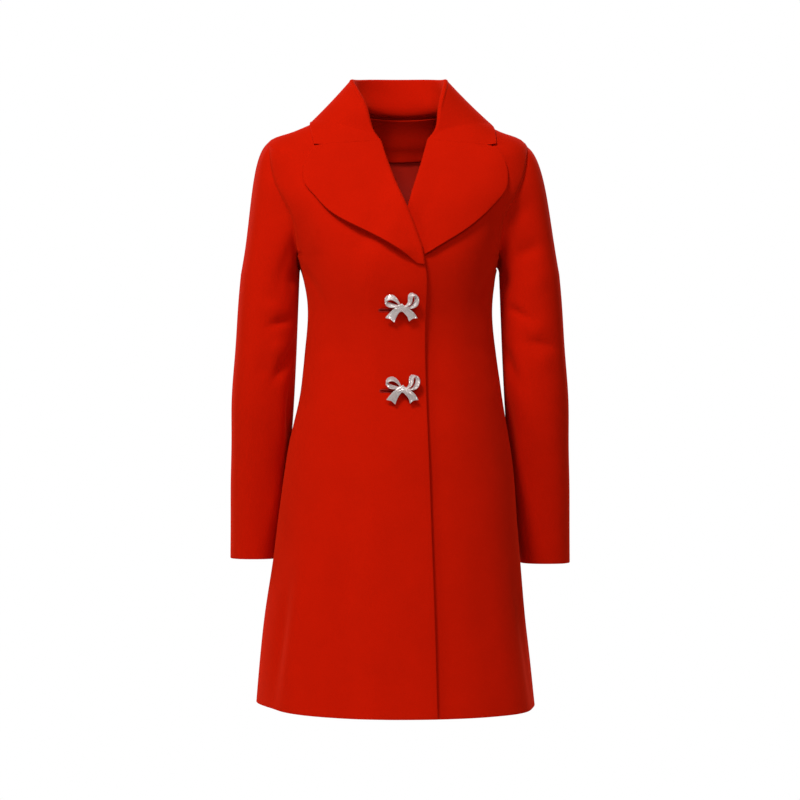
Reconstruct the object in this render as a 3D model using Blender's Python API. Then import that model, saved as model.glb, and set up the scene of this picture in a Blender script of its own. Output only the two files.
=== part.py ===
"""A red, single-breasted, A-line wool coat with a wide collar and two bow-shaped jewelled buttons.

The coat is filled out as if worn, with nobody in it. Metres, +Z up. The front faces -Y and the viewer's
right is +X, which is the wearer's left. The origin is in the middle of the neck, level with the shoulder
seams' neck ends.

Every panel lies on one smooth body surface, which runs down the body as rings, from the neck over the
shoulders to the hem. A point on it is named by its angle round the body (0 at the centre front, 90 on the
wearer's left side, 180 at the back) and by how far down the side it lies.
"""

import math

import bmesh
import bpy
import numpy as np
from mathutils import Matrix, Vector

# ------------------------------------------------------------------ driving dimensions
CLOTH = 0.0020          # thickness of the melton cloth
LAYER = 0.0036          # from one layer's middle to the middle of the next one on it
SEAM_GAP = 0.0004       # clear space between two pieces that are sewn together
LAP = 2 * LAYER         # the right front lies over the left front and its turned lapel
LAP_RUN = 0.045         # width over which the right front rises to that height
LAP_CLEAR = 0.008       # how far before the left front's edge it has risen
BACK_NECK_FACING = 0.143        # how far down the back the facing inside the neck reaches
BACK_NECK_FACING_TOP = 0.004
BACK_NECK_FACING_GAP = 0.0017
BACK_NECK_FACING_SPAN = (105, 255)   # degrees round the body
BACK_NECK_FACING_STEPS = 16
# The two buttons, at the crossing of each bow's ribbons, and how far below it the shank goes in.
BUTTONS = [
    # name, x, z, drop
    ("upper", 0.0035, -0.3030, 0.0045),
    ("lower", 0.0050, -0.4240, 0.0012),
]
BUTTONHOLE_LENGTH = 0.036
BUTTONHOLE_WIDTH = 0.0032
BUTTONHOLE_PAST_SHANK = 0.0045
SHANK_RADIUS = 0.0011
SHANK_CLEAR = 0.0007    # between its end and the left front
POST_BEHIND = 0.0022     # the upright post that joins bow and shank, behind the ribbons
BOW_STAND_OFF = 0.0060  # from the front's cloth to the back of the ribbon's middle
RIBBON_THICKNESS = 0.0016
KNOT = (0.0052, 0.0032, 0.0046)  # half sizes of the crossing's lump

# Rings of the body surface. down: distance down the side; three heights; half the width; how far the front
# and the back stand from the side line; where the ring's middle is.
BODY_RINGS = [
    # down, z_side, z_front, z_back, half_width, front, back, middle
    (0.000, -0.0030, -0.0750, -0.0090, 0.0670, 0.0600, 0.0620, 0.0080),     # neck
    (0.066, -0.0255, -0.0920, -0.0340, 0.1300, 0.0740, 0.0800, 0.0000),     # middle of the shoulder
    (0.100, -0.0392, -0.1020, -0.0500, 0.1610, 0.0815, 0.0880, -0.0030),
    (0.136, -0.0543, -0.1120, -0.0660, 0.1930, 0.0890, 0.0960, -0.0035),    # shoulder point
    (0.166, -0.0850, -0.1320, -0.0980, 0.2020, 0.1010, 0.1060, -0.0010),
    (0.201, -0.1170, -0.1520, -0.1280, 0.2010, 0.1110, 0.1110, 0.0000),
    (0.236, -0.1455, -0.1720, -0.1550, 0.1885, 0.1190, 0.1130, 0.0000),
    (0.261, -0.1680, -0.1900, -0.1760, 0.1770, 0.1245, 0.1130, 0.0000),
    (0.306, -0.2130, -0.2180, -0.2150, 0.1570, 0.1305, 0.1110, 0.0000),
    (0.338, -0.2430, -0.2400, -0.2430, 0.1470, 0.1315, 0.1080, 0.0004),     # armpit, and the lapels' break
    (0.362, -0.2655, -0.2655, -0.2655, 0.1415, 0.1280, 0.1040, 0.0008),
    (0.400, -0.3030, -0.3030, -0.3030, 0.1373, 0.1185, 0.0980, 0.0015),     # narrowest
    (0.460, -0.3630, -0.3630, -0.3630, 0.1418, 0.1095, 0.0975, 0.0030),     # waist
    (0.535, -0.4380, -0.4390, -0.4390, 0.1514, 0.1150, 0.1080, 0.0036),
    (0.597, -0.4980, -0.5000, -0.5000, 0.1635, 0.1230, 0.1240, 0.0015),     # hip
    (0.690, -0.5880, -0.5920, -0.5910, 0.1755, 0.1320, 0.1370, 0.0000),
    (0.795, -0.6930, -0.6990, -0.6960, 0.1873, 0.1420, 0.1480, -0.0030),
    (0.915, -0.8130, -0.8215, -0.8170, 0.2022, 0.1520, 0.1580, -0.0048),
    (0.990, -0.8885, -0.8990, -0.8940, 0.2097, 0.1600, 0.1650, -0.0038),    # hem
]
SQUARENESS = 0.10       # how much fuller than an ellipse a ring is between front and side
LEFT_HEM_LOWER = 0.0080     # the hem hangs a little lower on the wearer's left
NECK_DOWN = 0.000
NECK_EASE = 0.010       # below the neck, where the collar begins to be kept clear of the cloth
SHOULDER_DOWN = 0.136
ARMPIT_DOWN = 0.338
HEM_DOWN = 0.990

# Soft flutes of the skirt. angle: round the body; spread: half its width in degrees; depth: in metres, a
# trough where negative; start: how far down it begins to show.
FLUTES = [
    # angle, spread, depth, start
    (-62, 13, -0.0045, 0.52),
    (-38, 12, 0.0030, 0.62),
    (-101, 13, -0.0040, 0.62),
    (52, 15, 0.0030, 0.60),
    (84, 12, -0.0035, 0.64),
    (128, 15, -0.0050, 0.56),
    (158, 13, 0.0045, 0.58),
    (196, 14, -0.0045, 0.55),
    (226, 13, 0.0045, 0.60),
]

# The armhole seam seen from the front: its height and its distance from the body's middle.
ARMHOLE = [
    # z, half_width
    (-0.2430, 0.1470),
    (-0.2310, 0.1485),
    (-0.2130, 0.1510),
    (-0.1680, 0.1590),
    (-0.1455, 0.1700),
    (-0.1170, 0.1840),
    (-0.0850, 0.1915),
    (-0.0535, 0.1930),
]
ARMHOLE_BACK_FULLER = 0.003

# Inner edges of the fronts: the lap edge up to the break, and above it the line where the lapel rolls over.
RIGHT_FRONT_EDGE = [
    # z, x
    (-0.8985, 0.0556),
    (-0.6834, 0.0492),
    (-0.4873, 0.0420),
    (-0.2896, 0.0394),
    (-0.2400, 0.0373),
    (-0.2239, 0.0322),
    (-0.1706, 0.0128),
    (-0.0826, -0.0212),
    (-0.0530, -0.0300),
]
LEFT_FRONT_EDGE = [
    # z, x
    (-0.8985, -0.0200),
    (-0.4873, -0.0245),
    (-0.2896, -0.0260),
    (-0.2400, -0.0240),
    (-0.2100, -0.0090),
    (-0.1659, 0.0139),
    (-0.1426, 0.0210),
    (-0.0911, 0.0368),
    (-0.0520, 0.0470),
]

# Outer edges of the lapels, from the notch down to the break, seen from the front.
RIGHT_LAPEL_EDGE = [
    # x, z
    (-0.1250, -0.0610),
    (-0.1370, -0.0830),
    (-0.1405, -0.1032),
    (-0.1380, -0.1190),
    (-0.1256, -0.1353),
    (-0.1072, -0.1559),
    (-0.0532, -0.1890),
    (-0.0209, -0.2061),
    (0.0077, -0.2242),
    (0.0270, -0.2400),
]
LEFT_LAPEL_EDGE = [
    # x, z
    (0.1440, -0.0620),
    (0.1565, -0.0830),
    (0.1612, -0.1060),
    (0.1579, -0.1281),
    (0.1432, -0.1480),
    (0.1223, -0.1695),
    (0.0952, -0.1912),
    (0.0602, -0.2134),
    (0.0250, -0.2330),
    (-0.0135, -0.2410),
]
LAPEL_LIFT_RIGHT = 0.0050   # how far the lower edge of each lapel stands off the chest
LAPEL_LIFT_LEFT = 0.0030

# The collar. turn: degrees round the neck from the centre front by the wearer's right; the top of its fold;
# its outer edge.
COLLAR = [
    # turn, fold_x, fold_y, fold_z, edge_x, edge_y, edge_z
    (34, -0.0310, -0.0560, -0.0530, -0.1250, -0.0480, -0.0600),
    (62, -0.0475, -0.0450, -0.0040, -0.1285, -0.0280, -0.0420),
    (90, -0.0690, -0.0070, 0.0375, -0.1315, 0.0020, -0.0225),
    (112, -0.0670, 0.0200, 0.0440, -0.1250, 0.0340, -0.0285),
    (145, -0.0440, 0.0500, 0.0475, -0.0940, 0.0730, -0.0385),
    (180, 0.0010, 0.0640, 0.0490, 0.0015, 0.0990, -0.0470),
    (215, 0.0460, 0.0500, 0.0475, 0.0990, 0.0730, -0.0390),
    (248, 0.0680, 0.0200, 0.0440, 0.1310, 0.0340, -0.0300),
    (270, 0.0705, -0.0070, 0.0370, 0.1390, 0.0020, -0.0255),
    (298, 0.0590, -0.0450, -0.0090, 0.1430, -0.0280, -0.0440),
    (324, 0.0490, -0.0550, -0.0520, 0.1440, -0.0480, -0.0610),
]
FOLD_RADIUS = LAYER / 2         # of the lapels' fold, between the middles of its two layers
COLLAR_FOLD_RADIUS = 0.0028
GORGE_TO_STAND = math.radians(40)     # the turn over which the collar rises to its own fold

# Rings of the sleeve below the cap: height, how far out and back its middle lies, half its width and depth.
SLEEVE_RINGS = [
    # z, out, back, half_width, half_depth
    (-0.2500, 0.1925, 0.0040, 0.0430, 0.0590),
    (-0.2880, 0.1950, 0.0040, 0.0440, 0.0580),
    (-0.3630, 0.1990, 0.0060, 0.0450, 0.0565),      # elbow
    (-0.4380, 0.2040, 0.0140, 0.0460, 0.0550),
    (-0.4980, 0.2070, 0.0260, 0.0440, 0.0530),
    (-0.5580, 0.2120, 0.0400, 0.0410, 0.0515),
    (-0.6180, 0.2155, 0.0530, 0.0385, 0.0500),
    (-0.6780, 0.2190, 0.0640, 0.0360, 0.0480),      # cuff
]
SLEEVE_SHIFT = {-1: 0.0, 1: 0.0036}     # the wearer's left sleeve hangs a little further out
SLEEVE_LONGER = {-1: 0.0, 1: 0.0070}    # and its cuff a little lower
SLEEVE_WIDER = {-1: 0.0, 1: 0.0012}

# How finely the panels are divided.
YOKE_STEPS = 4
ARMHOLE_STEPS = 8
SKIRT_STEPS = 11
FRONT_STEPS = 9
BACK_STEPS = 18
SLEEVE_STEPS = 9
CAP_STEPS = (0.0, 0.07, 0.15, 0.25, 0.38, 0.53, 0.70, 0.86, 1.0)
STAND_STEPS = 4
FOLD_STEPS = 4
FALL_STEPS = 6

MATERIALS = {
    "wool": ((0.620, 0.010, 0.004), 0.85, 0.0),
    "pave": ((0.780, 0.640, 0.610), 0.25, 0.9),
}


# ------------------------------------------------------------------ curves and the body surface
def smooth_curve(knots, values):
    """A function that gives the natural cubic spline through values (one row for each knot)."""
    knots = np.asarray(knots, float)
    values = np.asarray(values, float)
    if knots[0] > knots[-1]:
        knots, values = knots[::-1], values[::-1]
    step = np.diff(knots)
    slope = np.diff(values, axis=0) / step[:, None]
    system = np.eye(len(knots))
    right = np.zeros_like(values)
    for i in range(1, len(knots) - 1):
        system[i, i - 1:i + 2] = step[i - 1], 2 * (step[i - 1] + step[i]), step[i]
        right[i] = 6 * (slope[i] - slope[i - 1])
    bend = np.linalg.solve(system, right)

    def curve(at):
        at = np.asarray(at, float)
        i = np.clip(np.searchsorted(knots, at) - 1, 0, len(step) - 1)
        h = step[i][..., None]
        a = (knots[i + 1] - at)[..., None]
        b = (at - knots[i])[..., None]
        return ((bend[i] * a ** 3 + bend[i + 1] * b ** 3) / (6 * h)
                + (values[i] / h - bend[i] * h / 6) * a + (values[i + 1] / h - bend[i + 1] * h / 6) * b)

    return curve


def table_curve(rows):
    """The smooth curve through a table whose first column is the place along it."""
    rows = np.asarray(rows, float)
    return smooth_curve(rows[:, 0], rows[:, 1:])


def along(points):
    """The smooth curve through a list of points, by the share (0 to 1) of its length."""
    points = np.asarray(points, float)
    length = np.concatenate([[0], np.cumsum(np.linalg.norm(np.diff(points, axis=0), axis=1))])
    return smooth_curve(length / length[-1], points)


def ease(t):
    """0 below 0, 1 above 1, and smooth between."""
    t = np.clip(t, 0, 1)
    return t * t * (3 - 2 * t)


body_ring = table_curve(BODY_RINGS)
right_edge = table_curve(RIGHT_FRONT_EDGE)
left_edge = table_curve(LEFT_FRONT_EDGE)
armhole_width = table_curve(ARMHOLE)


def flutes(angle, down):
    """How far the skirt's flutes push the cloth outwards."""
    push = 0.0
    for middle, spread, depth, start in FLUTES:
        away = (np.degrees(angle) - middle + 180) % 360 - 180
        push = push + depth * np.exp(-(away / spread) ** 2) * ease((down - start) / (HEM_DOWN - start))
    return push


def body(angle, down):
    """The point of the body surface at an angle (radians) and a distance down the side."""
    angle, down = np.broadcast_arrays(np.asarray(angle, float), np.asarray(down, float))
    ring = body_ring(down)
    z_side, z_front, z_back, half_width, front, back, middle = np.moveaxis(ring, -1, 0)
    s, c = np.sin(angle), np.cos(angle)
    deep = np.where(c > 0, front, back)
    z_end = np.where(c > 0, z_front, z_back)
    push = flutes(angle, down)
    x = middle + half_width * s * (1 + SQUARENESS * c * c) + push * s
    y = -deep * c * (1 + SQUARENESS * s * s) - push * c
    lower = LEFT_HEM_LOWER * np.maximum(s, 0) ** 2 * ease((down - ARMPIT_DOWN) / (HEM_DOWN - ARMPIT_DOWN))
    z = z_side + (z_end - z_side) * c * c - lower
    return np.stack([x, y, z], axis=-1)


def body_frame(angle, down, step=1e-4):
    """The point there, the outward normal, and the unit steps round the body and down it."""
    here = body(angle, down)
    turn = body(np.asarray(angle) + step, down) - body(np.asarray(angle) - step, down)
    fall = body(angle, np.asarray(down) + step) - body(angle, np.asarray(down) - step)
    normal = unit(np.cross(fall, turn))
    return here, normal, unit(turn), unit(fall)


def unit(vectors):
    return vectors / np.linalg.norm(vectors, axis=-1, keepdims=True)


def nearest_on_body(points, weights=(1, 1, 1), front_only=False):
    """The angle and the distance down at which the body surface comes nearest to each point."""
    points = np.asarray(points, float)
    flat = points.reshape(-1, 3)
    weights = np.asarray(weights, float)
    reach = 88 if front_only else 180
    angles = np.radians(np.linspace(-reach, reach, 73))
    downs = np.linspace(-0.02, HEM_DOWN, 120)
    grid_angle, grid_down = (g.ravel() for g in np.meshgrid(angles, downs))
    grid = body(grid_angle, grid_down) * weights
    start = [np.argmin(np.sum((grid - p * weights) ** 2, axis=1)) for p in flat]
    angle, down = grid_angle[start], grid_down[start]
    tiny = 1e-5
    for _ in range(12):
        miss = (body(angle, down) - flat) * weights
        by_angle = (body(angle + tiny, down) - body(angle - tiny, down)) * weights / (2 * tiny)
        by_down = (body(angle, down + tiny) - body(angle, down - tiny)) * weights / (2 * tiny)
        aa, ab, bb = (np.sum(p * q, axis=1) for p, q in
                      ((by_angle, by_angle), (by_angle, by_down), (by_down, by_down)))
        ma, mb = np.sum(by_angle * miss, axis=1), np.sum(by_down * miss, axis=1)
        scale = aa * bb - ab * ab + 1e-14
        angle = angle - np.clip((bb * ma - ab * mb) / scale, -0.3, 0.3)
        down = down - np.clip((aa * mb - ab * ma) / scale, -0.03, 0.03)
    return angle.reshape(points.shape[:-1]), down.reshape(points.shape[:-1])


def clear_of_body(points, clearance):
    """The points, with each that is nearer to the body surface than clearance moved out to it. Those above
    the neck stay where they are."""
    angle, down = nearest_on_body(points)
    foot, normal, _, _ = body_frame(angle, down)
    height = np.sum((points - foot) * normal, axis=-1)
    push = np.maximum(clearance - height, 0) * ease((down - NECK_DOWN) / NECK_EASE)
    return points + normal * push[..., None]


def lap_height(x, z):
    """How far the right front stands off the body surface, where it lies over the left front."""
    start = left_edge(z)[..., 0] - LAP_CLEAR - LAP_RUN
    return LAP * ease((x - start) / LAP_RUN)


def angle_where(down, low, high, misses):
    """The angle between low and high (degrees) at which misses(point) changes sign, by halving."""
    low, high = math.radians(low), math.radians(high)
    at_low = misses(body(low, down)) > 0
    for _ in range(40):
        middle = (low + high) / 2
        if (misses(body(middle, down)) > 0) == at_low:
            low = middle
        else:
            high = middle
    return (low + high) / 2


# ------------------------------------------------------------------ where the panels' edges run
def row_places():
    """How far down the side each row of the panels lies."""
    yoke = np.linspace(NECK_DOWN, SHOULDER_DOWN, YOKE_STEPS + 1)
    armhole = np.linspace(SHOULDER_DOWN, ARMPIT_DOWN, ARMHOLE_STEPS + 1)
    skirt = np.linspace(ARMPIT_DOWN, HEM_DOWN, SKIRT_STEPS + 1)
    return np.concatenate([yoke, armhole[1:], skirt[1:]])


ROWS = row_places()
SHOULDER_ROW = YOKE_STEPS
ARMPIT_ROW = YOKE_STEPS + ARMHOLE_STEPS


def inner_angle(side, down):
    """The angle of a front's inner edge. side is -1 for the wearer's right and 1 for the left."""
    edge = right_edge if side < 0 else left_edge
    return angle_where(down, -85, 85, lambda p: p[0] - edge(p[2])[0])


def outer_angle(side, down, at_back):
    """The angle of a panel's outer edge: the side and shoulder seams, and the armhole between."""
    if down <= SHOULDER_DOWN + 1e-9 or down >= ARMPIT_DOWN - 1e-9:
        return math.radians(90 * side)
    fuller = ARMHOLE_BACK_FULLER if at_back else 0.0
    share = (down - SHOULDER_DOWN) / (ARMPIT_DOWN - SHOULDER_DOWN)
    more = fuller * math.sin(math.pi * share)

    def miss(point):
        return abs(point[0]) - armhole_width(point[2])[0] - more

    middle = 135 if at_back else 45
    return angle_where(down, side * middle, side * 90, miss)


def armhole_loop(side):
    """The armhole from the shoulder point down its front, under the arm and up its back: the points of the
    body surface, their normals, and the step off the panels' edge."""
    rows = ROWS[SHOULDER_ROW:ARMPIT_ROW + 1]
    front = [(outer_angle(side, d, False), d) for d in rows]
    back = [(outer_angle(side, d, True), d) for d in rows[-2:0:-1]]
    angle, down = np.array(front + back).T
    points, normals, _, _ = body_frame(angle, down)
    ahead = unit(np.roll(points, -1, axis=0) - np.roll(points, 1, axis=0))
    off = unit(np.cross(ahead, normals)) * side
    return points, normals, off * -1 if off[0, 2] > 0 else off


# ------------------------------------------------------------------ walls of cloth
def make_object(name, verts, faces, material):
    mesh = bpy.data.meshes.new(name)
    mesh.from_pydata([tuple(map(float, v)) for v in verts], [], faces)
    mesh.validate()
    shape = bmesh.new()
    shape.from_mesh(mesh)
    bmesh.ops.recalc_face_normals(shape, faces=shape.faces)
    shape.to_mesh(mesh)
    shape.free()
    mesh.shade_smooth()
    mesh.set_sharp_from_angle(angle=math.radians(40))
    mesh.materials.append(materials[material])
    thing = bpy.data.objects.new(name, mesh)
    coat.objects.link(thing)
    return thing


def grid_normals(points, wrap=False):
    """Unit normals of a grid of points, (rows, columns, 3)."""
    down = np.gradient(points, axis=0)
    if wrap:
        across = np.roll(points, -1, axis=1) - np.roll(points, 1, axis=1)
    else:
        across = np.gradient(points, axis=1)
    return unit(np.cross(down, across))


def wall(name, points, normals, material, thickness=CLOTH, wrap=False):
    """A closed wall of cloth with the grid of points in its middle. wrap joins the last column to the
    first, which makes a tube that is open at both ends."""
    rows, columns = points.shape[:2]
    outer = points + normals * thickness / 2
    inner = points - normals * thickness / 2
    verts = np.concatenate([outer.reshape(-1, 3), inner.reshape(-1, 3)])
    behind = rows * columns
    faces = []

    def spot(row, column):
        return row * columns + column % columns

    for row in range(rows - 1):
        for column in range(columns if wrap else columns - 1):
            a, b = spot(row, column), spot(row, column + 1)
            c, d = spot(row + 1, column + 1), spot(row + 1, column)
            faces.append((a, b, c, d))
            faces.append((d + behind, c + behind, b + behind, a + behind))
    rim = [(spot(0, i), spot(0, i + 1)) for i in range(columns if wrap else columns - 1)]
    rim += [(spot(rows - 1, i + 1), spot(rows - 1, i)) for i in range(columns if wrap else columns - 1)]
    if not wrap:
        rim += [(spot(i + 1, 0), spot(i, 0)) for i in range(rows - 1)]
        rim += [(spot(i, columns - 1), spot(i + 1, columns - 1)) for i in range(rows - 1)]
    faces += [(b, a, a + behind, b + behind) for a, b in rim]
    return make_object(name, verts, faces, material)


def part_at_seams(points, sides):
    """The grid with the named sides moved half a seam gap inwards."""
    half = SEAM_GAP / 2
    moved = points.copy()
    if "first" in sides:
        moved[:, 0] += half * unit(points[:, 1] - points[:, 0])
    if "last" in sides:
        moved[:, -1] += half * unit(points[:, -2] - points[:, -1])
    if "top" in sides:
        moved[0] += half * unit(points[1] - points[0])
    return moved


# ------------------------------------------------------------------ fronts and back
def front_grid(side):
    """The middle of a front's cloth, from its inner edge to its outer edge, and the normals there."""
    angles = np.array([np.linspace(inner_angle(side, d), outer_angle(side, d, False), FRONT_STEPS + 1)
                       for d in ROWS])
    downs = np.repeat(ROWS[:, None], FRONT_STEPS + 1, axis=1)
    points, normals, _, _ = body_frame(angles, downs)
    if side < 0:
        points = points + normals * lap_height(points[..., 0], points[..., 2])[..., None]
        lapped = grid_normals(points)
        lapped *= np.sign(np.sum(lapped * normals, axis=-1, keepdims=True))
        near_edge = ease((ROWS - 0.02) / 0.05)[:, None, None] * np.linspace(1, 0, FRONT_STEPS + 1)[:, None]
        normals = unit(normals * (1 - near_edge) + lapped * near_edge)
    return points, normals


def seamed(points, side, at_back=False):
    """The panel's points with its seams opened by half the gap, the armhole along its own direction."""
    moved = part_at_seams(points, ("last", "top") if not at_back else ("first", "last", "top"))
    ends = ((side, -1),) if not at_back else ((1, 0), (-1, -1))
    for end, column in ends:
        loop, _, off = armhole_loop(end)
        count = ARMHOLE_STEPS + 1
        order = range(count) if not at_back else [0] + list(range(len(loop) - 1, count - 2, -1))
        for row, k in zip(range(SHOULDER_ROW, ARMPIT_ROW + 1), order):
            at_seam = row in (SHOULDER_ROW, ARMPIT_ROW)
            base = moved[row, column] if at_seam else points[row, column]
            moved[row, column] = base - off[k] * SEAM_GAP / 2
    return moved


def build_front(side):
    name = "front_right" if side < 0 else "front_left"
    points, normals = front_grid(side)
    panel = wall(name, seamed(points, side), normals, "wool")
    if side < 0:
        for label, x, z, drop in BUTTONS:
            cut_buttonhole(panel, label, x, z - drop)
    return panel


def build_back():
    angles = np.array([np.linspace(outer_angle(1, d, True), outer_angle(-1, d, True) + 2 * math.pi,
                                   BACK_STEPS + 1) for d in ROWS])
    downs = np.repeat(ROWS[:, None], BACK_STEPS + 1, axis=1)
    points, normals, _, _ = body_frame(angles, downs)
    wall("back", seamed(points, 1, at_back=True), normals, "wool")


def build_back_neck_facing():
    """The facing sewn inside the back of the neck, whose lower edge shows as a line."""
    angle = np.linspace(*np.radians(BACK_NECK_FACING_SPAN), BACK_NECK_FACING_STEPS + 1)
    rows = np.linspace(0, 1, 5)[:, None]
    lowest = BACK_NECK_FACING * (0.35 + 0.65 * np.sin(angle - math.pi / 2))
    downs = BACK_NECK_FACING_TOP + rows * (lowest - BACK_NECK_FACING_TOP)
    points, normals, _, _ = body_frame(angle + 0 * downs, downs)
    wall("back_neck_facing", points - normals * (CLOTH + BACK_NECK_FACING_GAP), normals, "wool")


# ------------------------------------------------------------------ buttonholes
def cut_buttonhole(panel, label, x, z):
    """Cuts a slot that starts just past the button's shank and runs away from the edge."""
    at_shank = surface_at(x, z)
    right_end = x + BUTTONHOLE_PAST_SHANK
    bpy.ops.mesh.primitive_cube_add(size=1)
    cutter = bpy.context.object
    cutter.name = "buttonhole_cutter_" + label
    cutter.scale = (BUTTONHOLE_LENGTH, 0.04, BUTTONHOLE_WIDTH)
    cutter.location = (right_end - BUTTONHOLE_LENGTH / 2, at_shank[1], z)
    for owner in cutter.users_collection:
        owner.objects.unlink(cutter)
    cutters.objects.link(cutter)
    cutter.hide_render = True
    cutter.display_type = "WIRE"
    cut = panel.modifiers.new("buttonhole_" + label, "BOOLEAN")
    cut.operation = "DIFFERENCE"
    cut.solver = "EXACT"
    cut.object = cutter


def surface_at(x, z):
    """The point of the right front's middle seen from the front at x and z."""
    return above_front(np.array([[x, 0.0, z]]), 0.0, -1)[0]


# ------------------------------------------------------------------ lapels and collar
def bezier(p0, p1, p2, p3, shares):
    t = np.asarray(shares)[:, None]
    return (1 - t) ** 3 * p0 + 3 * (1 - t) ** 2 * t * p1 + 3 * (1 - t) * t ** 2 * p2 + t ** 3 * p3


def fold_section(start, off, top, up, over, radius):
    """The stand, from a panel's edge, and the fold at its top. off: the step off the panel's edge; up: from
    the fold's middle to its top; over: across the fold, from the stand to the fall."""
    middle = top - up * radius
    foot = middle - over * radius
    reach = np.linalg.norm(foot - start)
    shares = np.linspace(0, 1, STAND_STEPS + 1)
    stand = bezier(start, start + off * reach * 0.35, foot - up * reach * 0.4, foot, shares)
    turns = np.linspace(0, math.pi, FOLD_STEPS + 1)[1:]
    fold = [middle - over * radius * math.cos(t) + up * radius * math.sin(t) for t in turns]
    return np.concatenate([stand, fold])


def neckline(side):
    """The front's inner edge above the break and its top corner: the points of the cloth's middle, the
    normals, and the step off the edge, from the neck down."""
    points, normals = front_grid(side)
    rows = slice(0, ARMPIT_ROW + 1)
    edge, normal = points[rows, 0], normals[rows, 0]
    ahead = np.gradient(edge, axis=0)
    ahead[0] = edge[1] - body(inner_angle(side, NECK_DOWN) + side * math.radians(8), NECK_DOWN)
    off = unit(np.cross(unit(ahead), normal)) * side
    return edge, normal, off


def lapel_grid(side):
    """The sections of a lapel, from the gorge down to the break."""
    edge, normal, off = neckline(side)
    outline = along(RIGHT_LAPEL_EDGE if side < 0 else LEFT_LAPEL_EDGE)
    lift = LAPEL_LIFT_RIGHT if side < 0 else LAPEL_LIFT_LEFT
    length = np.concatenate([[0], np.cumsum(np.linalg.norm(np.diff(edge, axis=0), axis=1))])
    shares = length / length[-1]
    across = np.linspace(0, 1, FALL_STEPS + 1)[1:]
    sections = []
    for start, out, step, share in zip(edge + off * SEAM_GAP, normal, off, shares):
        rolled = fold_section(start, step, fold_top(start, out, step), step, out, FOLD_RADIUS)
        x_fold, _, z_fold = rolled[-1]
        x_end, z_end = outline(share)
        target = np.stack([x_fold + (x_end - x_fold) * across, np.zeros(FALL_STEPS),
                           z_fold + (z_end - z_fold) * across], axis=-1)
        raised = LAYER + lift * across ** 2 * math.sin(math.pi * min(1, 1.15 * share)) ** 2
        sections.append(np.concatenate([rolled, above_front(target, raised, side)]))
    return np.array(sections)


def fold_top(start, out, off):
    """The top of a fold that turns back flat on its own panel."""
    return start + off * FOLD_RADIUS * 1.6 + out * FOLD_RADIUS


def above_front(target, raised, side):
    """Points that are seen from the front at the targets' x and z, and lie raised above a front."""
    aim = target.copy()
    for _ in range(3):
        angle, down = nearest_on_body(aim, (1, 0, 1), front_only=True)
        point, normal, _, _ = body_frame(angle, down)
        height = raised + (lap_height(target[:, 0], target[:, 2]) if side < 0 else 0)
        there = point + normal * np.reshape(height, (-1, 1))
        aim = aim + (target - there) * np.array([1, 0, 1])
    return there


def collar_turns():
    """The angle round the neck of each section, the same as the fronts' and the back's top columns."""
    right = np.linspace(-inner_angle(-1, NECK_DOWN), math.pi / 2, FRONT_STEPS + 1)
    back = np.linspace(math.pi / 2, 3 * math.pi / 2, BACK_STEPS + 1)
    left = np.linspace(3 * math.pi / 2, 2 * math.pi - inner_angle(1, NECK_DOWN), FRONT_STEPS + 1)
    return np.concatenate([right, back[1:], left[1:]])


def collar_grid(right_gorge, left_gorge):
    """The sections of the collar, from the right gorge round the neck to the left one. At each gorge it
    starts as the lapel's first section, and its fold rises from there."""
    turns = collar_turns()
    shape = table_curve(COLLAR)
    ring, normal, round_body, _ = body_frame(-turns, NECK_DOWN)
    off = unit(np.cross(round_body, normal))
    off *= np.sign(off[:, 2:3])
    shares = np.linspace(0, 1, FALL_STEPS + 1)[1:, None]
    sections = [right_gorge]
    for k in range(1, len(turns) - 1):
        values = shape(math.degrees(turns[k]))
        upright = ease(min(turns[k] - turns[0], turns[-1] - turns[k]) / GORGE_TO_STAND)
        start = ring[k] + off[k] * SEAM_GAP
        top = fold_top(start, normal[k], off[k]) * (1 - upright) + values[:3] * upright
        up = unit(off[k] * (1 - upright) + np.array([0.0, 0.0, 1.0]) * upright)
        from_neck = np.array([-math.sin(turns[k]), -math.cos(turns[k]), 0.0])
        over = unit(from_neck - up * np.dot(from_neck, up))
        radius = FOLD_RADIUS + (COLLAR_FOLD_RADIUS - FOLD_RADIUS) * upright
        rolled = fold_section(start, off[k], top, up, over, radius)
        straight = rolled[-1] + (values[3:] - rolled[-1]) * shares
        sections.append(np.concatenate([rolled, clear_of_body(straight, LAYER)]))
    return np.array(sections + [left_gorge])


def build_lapels_and_collar():
    """The collar's end sections are the lapels' first ones, half a seam gap apart."""
    lapels = {-1: lapel_grid(-1), 1: lapel_grid(1)}
    collar = collar_grid(lapels[-1][0], lapels[1][0])
    collar_normals = grid_normals(collar)
    for side, end, next_in in ((-1, 0, 1), (1, -1, -2)):
        points = lapels[side]
        normals = grid_normals(points)
        normals *= np.sign(np.sum(normals[0] * collar_normals[end]))
        normals[0] = unit(normals[0] + collar_normals[end])
        collar_normals[end] = normals[0]
        collar[end] += unit(collar[next_in] - collar[end]) * SEAM_GAP / 2
        points[0] += unit(points[1] - points[0]) * SEAM_GAP / 2
        wall("lapel_right" if side < 0 else "lapel_left", points, normals, "wool")
    wall("collar", collar, collar_normals, "wool")


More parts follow.
